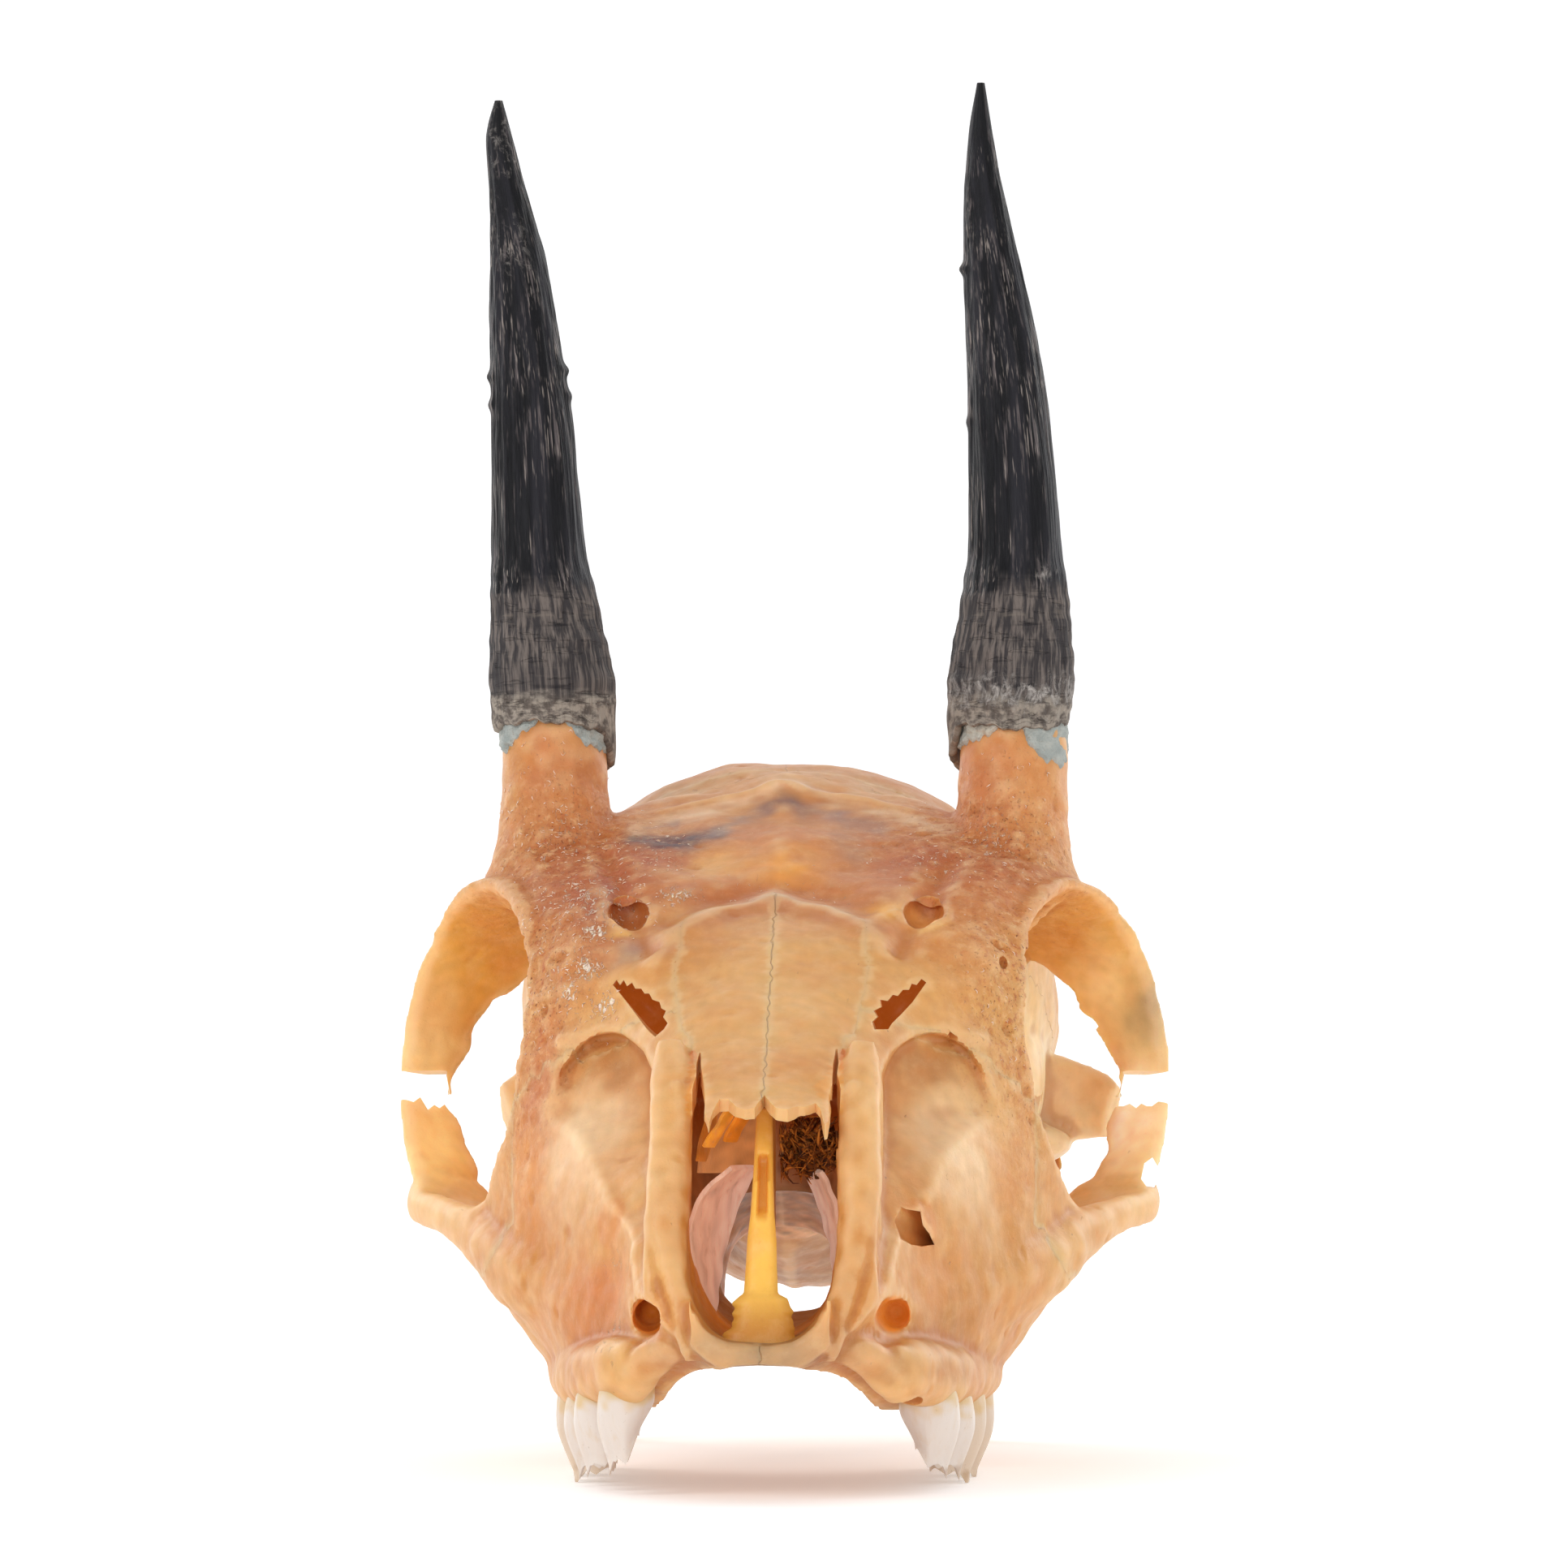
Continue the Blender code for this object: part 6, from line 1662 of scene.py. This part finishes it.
def makeTurbinates(membrane):
    # lilac plates in the nose, a broad one and a narrow one, then orange slips of broken bone
    for name, (rows, node) in nosePlates["plates"].items():
        plate = curledPlate(name, rows, nosePlates["plateThick"], 0.08, 90)
        points = pointsOf(plate.data)
        # paler towards the rear edge: a painted highlight along it
        tint = blend(paint(222, 184, 160), paint(240, 224, 216), fade(points[:, 1], -34, -25))
        layOn(plate, np.clip(tint * (1 + 0.12 * wander(points * [1, 1, 0.3], 1.2, 91))[:, None], 0, 1))
        smoothFaces(plate, 60)
        settle(plate, membrane, "bone", node)
    for name, (rows, colour) in nosePlates["slips"].items():
        slip = curledPlate(name, rows, nosePlates["slipThick"], 0.1, 92)
        layOn(slip, np.clip(colour * (1 + 0.15 * wander(pointsOf(slip.data), 1.5, 80))[:, None], 0, 1))
        smoothFaces(slip, 60)
        settle(slip, membrane, "bone")


def tubes(name, paths, radius, around=5):
    # many thin tubes at once: a small ring stands round every point of every path, tapered at both ends
    paths = np.asarray(paths, float)
    count, steps = paths.shape[:2]
    along = np.gradient(paths, axis=1)
    along /= np.linalg.norm(along, axis=-1, keepdims=True) + 1e-9
    helper = np.where(np.abs(along[..., 2:3]) > 0.8, [1.0, 0, 0], [0, 0, 1.0])
    u = np.cross(along, helper)
    u /= np.linalg.norm(u, axis=-1, keepdims=True) + 1e-9
    v = np.cross(along, u)
    angle = roundAngles(around)[None, None, :, None]
    taper = np.clip(np.sin(math.pi * np.linspace(0.06, 0.94, steps)), 0.2, 1)[None, :, None, None]
    size = taper * np.reshape(radius, (-1, 1, 1, 1))
    rings = paths[:, :, None] + size * (u[:, :, None] * np.cos(angle) + v[:, :, None] * np.sin(angle))
    here = np.arange(around)
    after = (here + 1) % around
    row = (np.arange(count)[:, None, None] * steps + np.arange(steps - 1)[:, None]) * around
    walls = np.stack([row + here, row + after, row + around + after, row + around + here], axis=-1).reshape(-1, 4)
    start = np.arange(count)[:, None] * steps * around
    first = (start + here[::-1]).tolist()
    last = (start + (steps - 1) * around + here).tolist()
    mesh = bpy.data.meshes.new(name)
    mesh.from_pydata(rings.reshape(-1, 3).tolist(), [], walls.tolist() + first + last)
    return put(name, mesh)


debris = {
    "curls": 210,
    "middle": [3.8, -33.0, 27.6],
    "spread": [1.2, 1.4, 1.0],
    "reach": 0.55,  # along a curl's heading
    "bend": 0.75,  # and off it
    "thick": (0.05, 0.15),  # radii
}


def makeDebris():
    # dry fibres caught beside the vomer: curls round a lumpy core
    pick = np.random.default_rng(7)
    count, steps = debris["curls"], 9
    start = pick.normal(size=(count, 1, 3)) * debris["spread"] + debris["middle"]
    heading = pick.normal(size=(count, 1, 3))
    curl = pick.normal(size=(count, 1, 3))
    t = np.linspace(-1, 1, steps)[None, :, None]
    paths = start + heading * t * debris["reach"] + curl * (t**2) * debris["bend"]
    paths[..., 0] = np.clip(paths[..., 0], 1.2, 5.7)
    paths[..., 2] = np.clip(paths[..., 2], 24.6, 30.0)
    strands = tubes("driedFibres", paths, pick.uniform(*debris["thick"], count))
    smoothFaces(strands)
    settle(strands, fluffFinish("driedFibre", paint(92, 52, 14), paint(196, 120, 34)), "bone")
    lump = ball("driedLump", (3.7, -31.4, 27.6), (2.0, 2.4, 2.0), None, around=40)
    points, normals = pointsOf(lump.data), normalsOf(lump.data)
    movePoints(lump, points + normals * (0.35 * wander(points, 1.3, 95) + 0.2 * wander(points, 0.6, 96))[:, None])
    smoothFaces(lump)
    settle(lump, fluffFinish("driedMud", paint(64, 34, 10), paint(132, 78, 24)), "bone")


whiskers = {
    "count": 780,
    "length": (0.15, 0.5),
    "thick": (0.018, 0.045),  # radii
    "bend": 0.35,
    "lift": 0.05,  # height of the middle off the bone
}


def makeWhiskers(mesh):
    # hundreds of short pale fibres stuck to the bone, most on the brow
    pick = np.random.default_rng(11)
    points, normals = pointsOf(mesh), normalsOf(mesh)
    outer = (normals[:, 1] < 0.35) & (normals[:, 2] > -0.2)
    clumped = fade(wander(points, 2.2, 97), 0.1, 1.3)
    moreOnRight = 1 + 1.6 * (points[:, 0] < -8)
    weight = crustiness(points) ** 1.3 * (0.15 + clumped) * moreOnRight + 0.03 * ruggedness(points)
    weight = np.minimum(weight * outer, 1.2)
    chosen = pick.choice(len(points), whiskers["count"], p=weight / weight.sum())
    base, normal = points[chosen][:, None, :], normals[chosen][:, None, :]
    heading = pick.normal(size=(len(chosen), 1, 3))
    heading -= (heading * normal).sum(-1, keepdims=True) * normal
    heading /= np.linalg.norm(heading, axis=-1, keepdims=True)
    bend = np.cross(normal, heading) * pick.normal(size=(len(chosen), 1, 1)) * whiskers["bend"]
    reach = pick.uniform(*whiskers["length"], size=(len(chosen), 1, 1))
    t = np.linspace(-1, 1, 5)[None, :, None]
    paths = base + heading * t * reach / 2 + bend * t**2 * reach + normal * whiskers["lift"] * (1 - t**2)
    fibres = tubes("paleFibres", paths, pick.uniform(*whiskers["thick"], len(chosen)))
    smoothFaces(fibres)
    settle(fibres, fluffFinish("paleFibre", paint(224, 180, 144), paint(250, 232, 214)), "bone")


# horns

horn = {
    "height": np.array([62.6, 65.7, 72.0, 76.3, 83.0, 90.4, 97.5, 104.5, 110.5, 115.0]),
    "radius": np.array([5.0, 5.25, 4.6, 4.1, 3.8, 3.45, 2.9, 2.25, 1.5, 0.95]),
    "back": np.array([10.6, 11.4, 12.8, 13.9, 15.6, 17.2, 18.4, 19.2, 19.6, 19.8]),
    "aside": {
        "right": np.array([-19.5, -19.7, -20.4, -21.0, -21.5, -22.0, -22.7, -23.5, -24.4, -25.0]),
        "left": np.array([19.3, 19.4, 19.7, 19.8, 19.6, 19.1, 18.4, 17.6, 17.0, 16.8]),
    },
    "tip": {"right": 117.2, "left": 118.6},
    "socket": 3.4,  # how deep the core stands in the sheath
    # height of a nub, how far it stands out, and 1 where it faces the other horn
    "nubs": {
        "right": [(93.6, 0.35, 1.0), (91.4, 0.22, 1.0), (93.0, 0.30, -1.0), (90.6, 0.25, -1.0)],
        "left": [(102.4, 0.42, 1.0), (89.0, 0.16, 1.0)],
    },
    "flap": 3.9,  # how far the rim hangs down on the inner side
    # rings from the end of the socket to the rim: share of the rim's size, and how far up
    "lining": [(0.02, 3.4), (0.85, 3.4), (0.86, 2.04), (0.865, 0.3), (0.875, 0.0), (0.94, -0.12)],
    "seed": {"left": 100, "right": 120},
}


def sheathAxis(word, heights):
    # radius, sideways and backward place of the sheath at some heights, smoothed through the table
    tall = np.append(horn["height"], horn["tip"][word])
    radius = smoothThrough(tall, np.append(horn["radius"], 0.34), heights)
    aside = smoothThrough(tall, np.append(horn["aside"][word], horn["aside"][word][-1]), heights)
    back = smoothThrough(tall, np.append(horn["back"], horn["back"][-1]), heights)
    return radius, aside, back


def chalkiness(word, level, facing, aside):
    # 0 to 1: bands and spots of chalk, given by height above 60 mm, share faced forward and place sideways
    if word == "left":
        spot = 0.8 * bell(level - 15.6, 0.6) * fade(facing, 0.4, 0.8) * fade(aside, 1.0, 2.0)
        fleck = 0.5 * bell(level - 32.6, 0.8) * fade(aside, 2.4, 3.0)
        return bell(level - 5.4, 2.1) * 0.95 + spot + fleck
    front = 0.5 * bell(level - 44.0, 4.0) * fade(facing, 0.6, 0.95)
    return 0.35 * bell(level - 4.0, 0.8) + front + 0.45 * fade(level, 48.0, 52.0)


def makeSheath(word, side, finish):
    # rings up a leaning axis; fibres, growth rings and nubs swell the radius; a ragged rim turns in to a shallow socket
    around, steps = 220, 330
    foot, socket = horn["height"][0], horn["socket"]
    rise = np.linspace(0, 1, steps)
    heights = foot + (horn["tip"][word] - foot) * (1 - (1 - rise) ** 1.15)
    radius, aside, back = sheathAxis(word, heights)
    angle = roundAngles(around)
    c, s = np.cos(angle), np.sin(angle)
    wrap = np.empty((steps, around, 3))
    wrap[..., :2] = np.stack([c, s], axis=-1) * np.maximum(radius, 1.0)[:, None, None]
    wrap[..., 2] = heights[:, None]
    seed = horn["seed"][word]
    flat = wrap.reshape(-1, 3)
    fibres = 0.055 * wander(flat * [1, 1, 0.05], 0.8, seed, 24)
    fibres = fibres + 0.03 * wander(flat * [1, 1, 0.04], 0.36, seed + 1, 24)
    extra = fibres + 0.07 * wander(flat * [1, 1, 0.3], 4.0, seed + 2)
    extra = extra + 0.05 * wander(flat * [0.12, 0.12, 1], 1.4, seed + 3) * (1 - fade(flat[:, 2], 70, 80))
    extra = extra.reshape(steps, around) + 0.12 * fade(heights, 77.2, 75.6)[:, None]
    inward = -side * c
    for z, big, way in horn["nubs"][word]:
        extra += big * bell(heights - z, 0.5)[:, None] * fade(inward * way, 0.86, 1.0)
    size = radius[:, None] + extra * np.clip(radius / 2.5, 0.15, 1.0)[:, None]
    sag = 0.35 * np.sin(angle * 2 + side) + 0.14 * np.sin(angle * 9) + 0.08 * np.sin(angle * 23)
    sag = sag - fade(inward + 0.5 * s, 0.30, 1.35) ** 1.3 * horn["flap"]
    x = aside[:, None] + size * c
    y = back[:, None] + size * hornCore["deeper"] * s
    z = heights[:, None] + sag * (1 - fade(heights, foot, foot + 2.0))[:, None]
    outer = np.stack([x, y, z], axis=-1)
    rim, middle = outer[0], outer[0].mean(axis=0)
    inner = []
    for share, up in horn["lining"]:
        ring = middle + (rim - middle) * share
        ring[:, 2] = rim[:, 2] + (foot + socket - rim[:, 2]) * max(up / socket, -0.05)
        inner.append(ring)
    obj = ringBody("hornSheath" + word.title(), np.concatenate([np.array(inner), outer]))
    wrap = np.concatenate([np.repeat(wrap[:1], len(inner), axis=0), wrap]).reshape(-1, 3) - [0, 0, 60.0]
    level, faced = wrap[:, 2], -wrap[:, 1] / np.maximum(np.hypot(wrap[:, 0], wrap[:, 1]), 0.01)
    pale = np.clip(chalkiness(word, level, faced, wrap[:, 0]), 0, 1)
    lining = 1.0 * (np.arange(len(wrap)) < (len(inner) - 1) * around)
    black = np.repeat([[0.02, 0.02, 0.03]], len(wrap), axis=0)
    layOn(obj, black, lining=lining, wrap=wrap, height=level, pale=pale)
    smoothFaces(obj, 70)
    settle(obj, finish, "horn", "horn_sheath_" + word)


puttyEdge = {
    # angle round the core from its +X side over the rear to the front, and height of the putty's lower edge
    "right": (
        np.array([0.0, 1.5, 3.0, 3.9, 4.35, 4.75, 5.2, 5.7, 6.3]),
        np.array([60.4, 61.0, 60.8, 60.9, 62.6, 63.4, 61.6, 60.2, 60.4]),
    ),
    "left": (
        np.array([0.0, 1.5, 3.0, 3.8, 4.3, 4.9, 5.25, 5.7, 6.3]),
        np.array([59.9, 60.8, 60.9, 60.9, 61.9, 62.0, 59.6, 59.0, 59.9]),
    ),
    "under": 0.45,  # how far the skin dips under the bone below its edge
    "proud": 0.72,  # and rises from there above it
    "flush": 63.2,  # no thicker than the core above this, inside the sheath
}


def makePutty(word, side, finish):
    # a skin of putty round the core: it stands proud above a ragged line and dips under the bone below it
    around, steps = 160, 70
    heights = np.linspace(56.6, 65.4, steps)
    x, y, r = coreAt(heights)
    angle = roundAngles(around)
    c, s = np.cos(angle), np.sin(angle)
    edge = smoothThrough(*puttyEdge[word], angle)
    edge = edge + 0.22 * np.sin(angle * 7 + side) + 0.16 * np.sin(angle * 17 + 1) + 0.12 * np.sin(angle * 31)
    z = np.broadcast_to(heights[:, None], (steps, around))
    spots = np.stack([c * r, s * r, z], axis=-1)
    lumps = 0.10 * wander(spots, 1.6, 140) + 0.05 * wander(spots, 0.6, 141)
    size = r - puttyEdge["under"] + fade(z - edge, -0.25, 0.45) * (puttyEdge["proud"] + lumps)
    size = np.where(z > puttyEdge["flush"], np.minimum(size, r), size)
    rings = np.stack([side * x + size * c, y + size * hornCore["deeper"] * s, z], axis=-1)
    obj = ringBody("putty" + word.title(), rings)
    beige = bell(np.tile(angle, steps) - 4.2, 0.55) * (word == "left")
    layOn(obj, blend(paint(152, 158, 154), paint(196, 186, 168), beige))
    smoothFaces(obj, 70)
    settle(obj, finish, "putty", "putty_" + word)


# camera, floor and light

setting = {
    "eye": (0.022, -0.688, 0.0395),  # metres, before the skull is centred
    "turn": 1.8,  # degrees
    "tilt": 1.49,
    "lens": 188.2,  # millimetres, for a sensor of 36
    "bend": 1.2,  # metres: place and radius of the curve between floor and wall
    # name, place, what it is aimed at, size, power in watts
    "lamps": [
        ("frontLeft", (-0.75, -0.85, 0.80), (0.0, 0.0, 0.05), 0.5, 3.5),
        ("front", (0.04, -1.2, 0.08), (0.0, -0.03, 0.03), 0.3, 1.5),
        ("frontRight", (0.80, -0.80, 0.35), (0.0, 0.0, 0.05), 0.8, 1.0),
        ("behindLeft", (-0.7, 0.7, 0.45), (0.0, 0.0, 0.05), 0.6, 1.8),
        ("behindRight", (0.7, 0.7, 0.45), (0.0, 0.0, 0.05), 0.6, 1.8),
    ],
    "room": 0.70,
}


def makeStage():
    # floor that curves up into a wall far behind; lamps all round; camera where the picture was taken from
    camera = bpy.data.cameras.new("camera")
    camera.lens, camera.sensor_width = setting["lens"], 36.0
    camera.clip_start, camera.clip_end = 0.05, 30.0
    eye = link("camera", camera)
    x, y, z = setting["eye"]
    eye.location = (x, y + lift.y / 1000, z)
    eye.rotation_euler = (math.radians(90 + setting["tilt"]), 0, math.radians(setting["turn"]))
    bpy.context.scene.camera = eye
    angle, bend = np.linspace(0, math.pi / 2, 24), setting["bend"]
    curve = np.column_stack([bend + bend * np.sin(angle), bend - bend * np.cos(angle)])
    profile = np.vstack([[[-4.0, 0.0]], curve, [[2 * bend, 5.0]]])
    floor = prism("floor", np.vstack([profile, (profile + [0.02, -0.02])[::-1]]), 0, -5.0, 5.0, None)
    smoothFaces(floor, 40)
    paper = Finish("palePaper", Emission_Color=(1.0, 1.0, 1.0, 1.0), Emission_Strength=0.26)
    grainy = paper.noise(paper.place(), 0.05, 2.0)
    shade = paper.mix(paper.step(grainy, 0.3, 0.7), (0.975, 0.975, 0.975), (0.985, 0.985, 0.985))
    paper.finish(shade, 0.8 + grainy * 0.05, grainy, 0.0001, 0.1)
    floor.data.materials.append(paper.material)
    for name, place, aim, size, power in setting["lamps"]:
        light = bpy.data.lights.new(name, "AREA")
        light.size, light.energy = size, power
        lamp = link(name, light)
        lamp.location = place
        lamp.rotation_euler = (Vector(aim) - Vector(place)).to_track_quat("-Z", "Y").to_euler()
    room = bpy.data.worlds.new("room")
    bpy.context.scene.world = room
    room.use_nodes = True
    background = room.node_tree.nodes["Background"].inputs
    background["Color"].default_value, background["Strength"].default_value = (1.0, 1.0, 1.0, 1.0), setting["room"]
    bpy.context.scene.view_settings.view_transform = "Standard"


# putting it together

work = group("work")
bones = partBones(wholeSkull(work))
print("skull parted into", {name: len(obj.data.polygons) for name, obj in bones.items()})
makeWhiskers(bones["frontal"].data)
for node, obj in bones.items():
    points = pointsOf(obj.data)
    numbers = {"rugged": ruggedness(points), "crust": crustiness(points), "seam": sutureLine(points)}
    # painted glow of each bone, given off as emission in place of light through thin bone
    glow = paintedGlowShare(points, normalsOf(obj.data))
    layOn(obj, boneTint(points), **numbers, hollow=hollowness(obj.data), glow=glow)
    smoothFaces(obj, 50)
    settle(obj, bone, "bone", node)
print("bones coloured")
makeTeeth()
makeVomer()
makeTurbinates(membraneFinish())
makeDebris()
hornDark, puttyGrey = hornFinish(), puttyFinish()
for word, side in sides.items():
    makeSheath(word, side, hornDark)
    makePutty(word, side, puttyGrey)
print("teeth, nose and horns made")
bpy.data.collections.remove(work)
makeStage()
print("stage set")
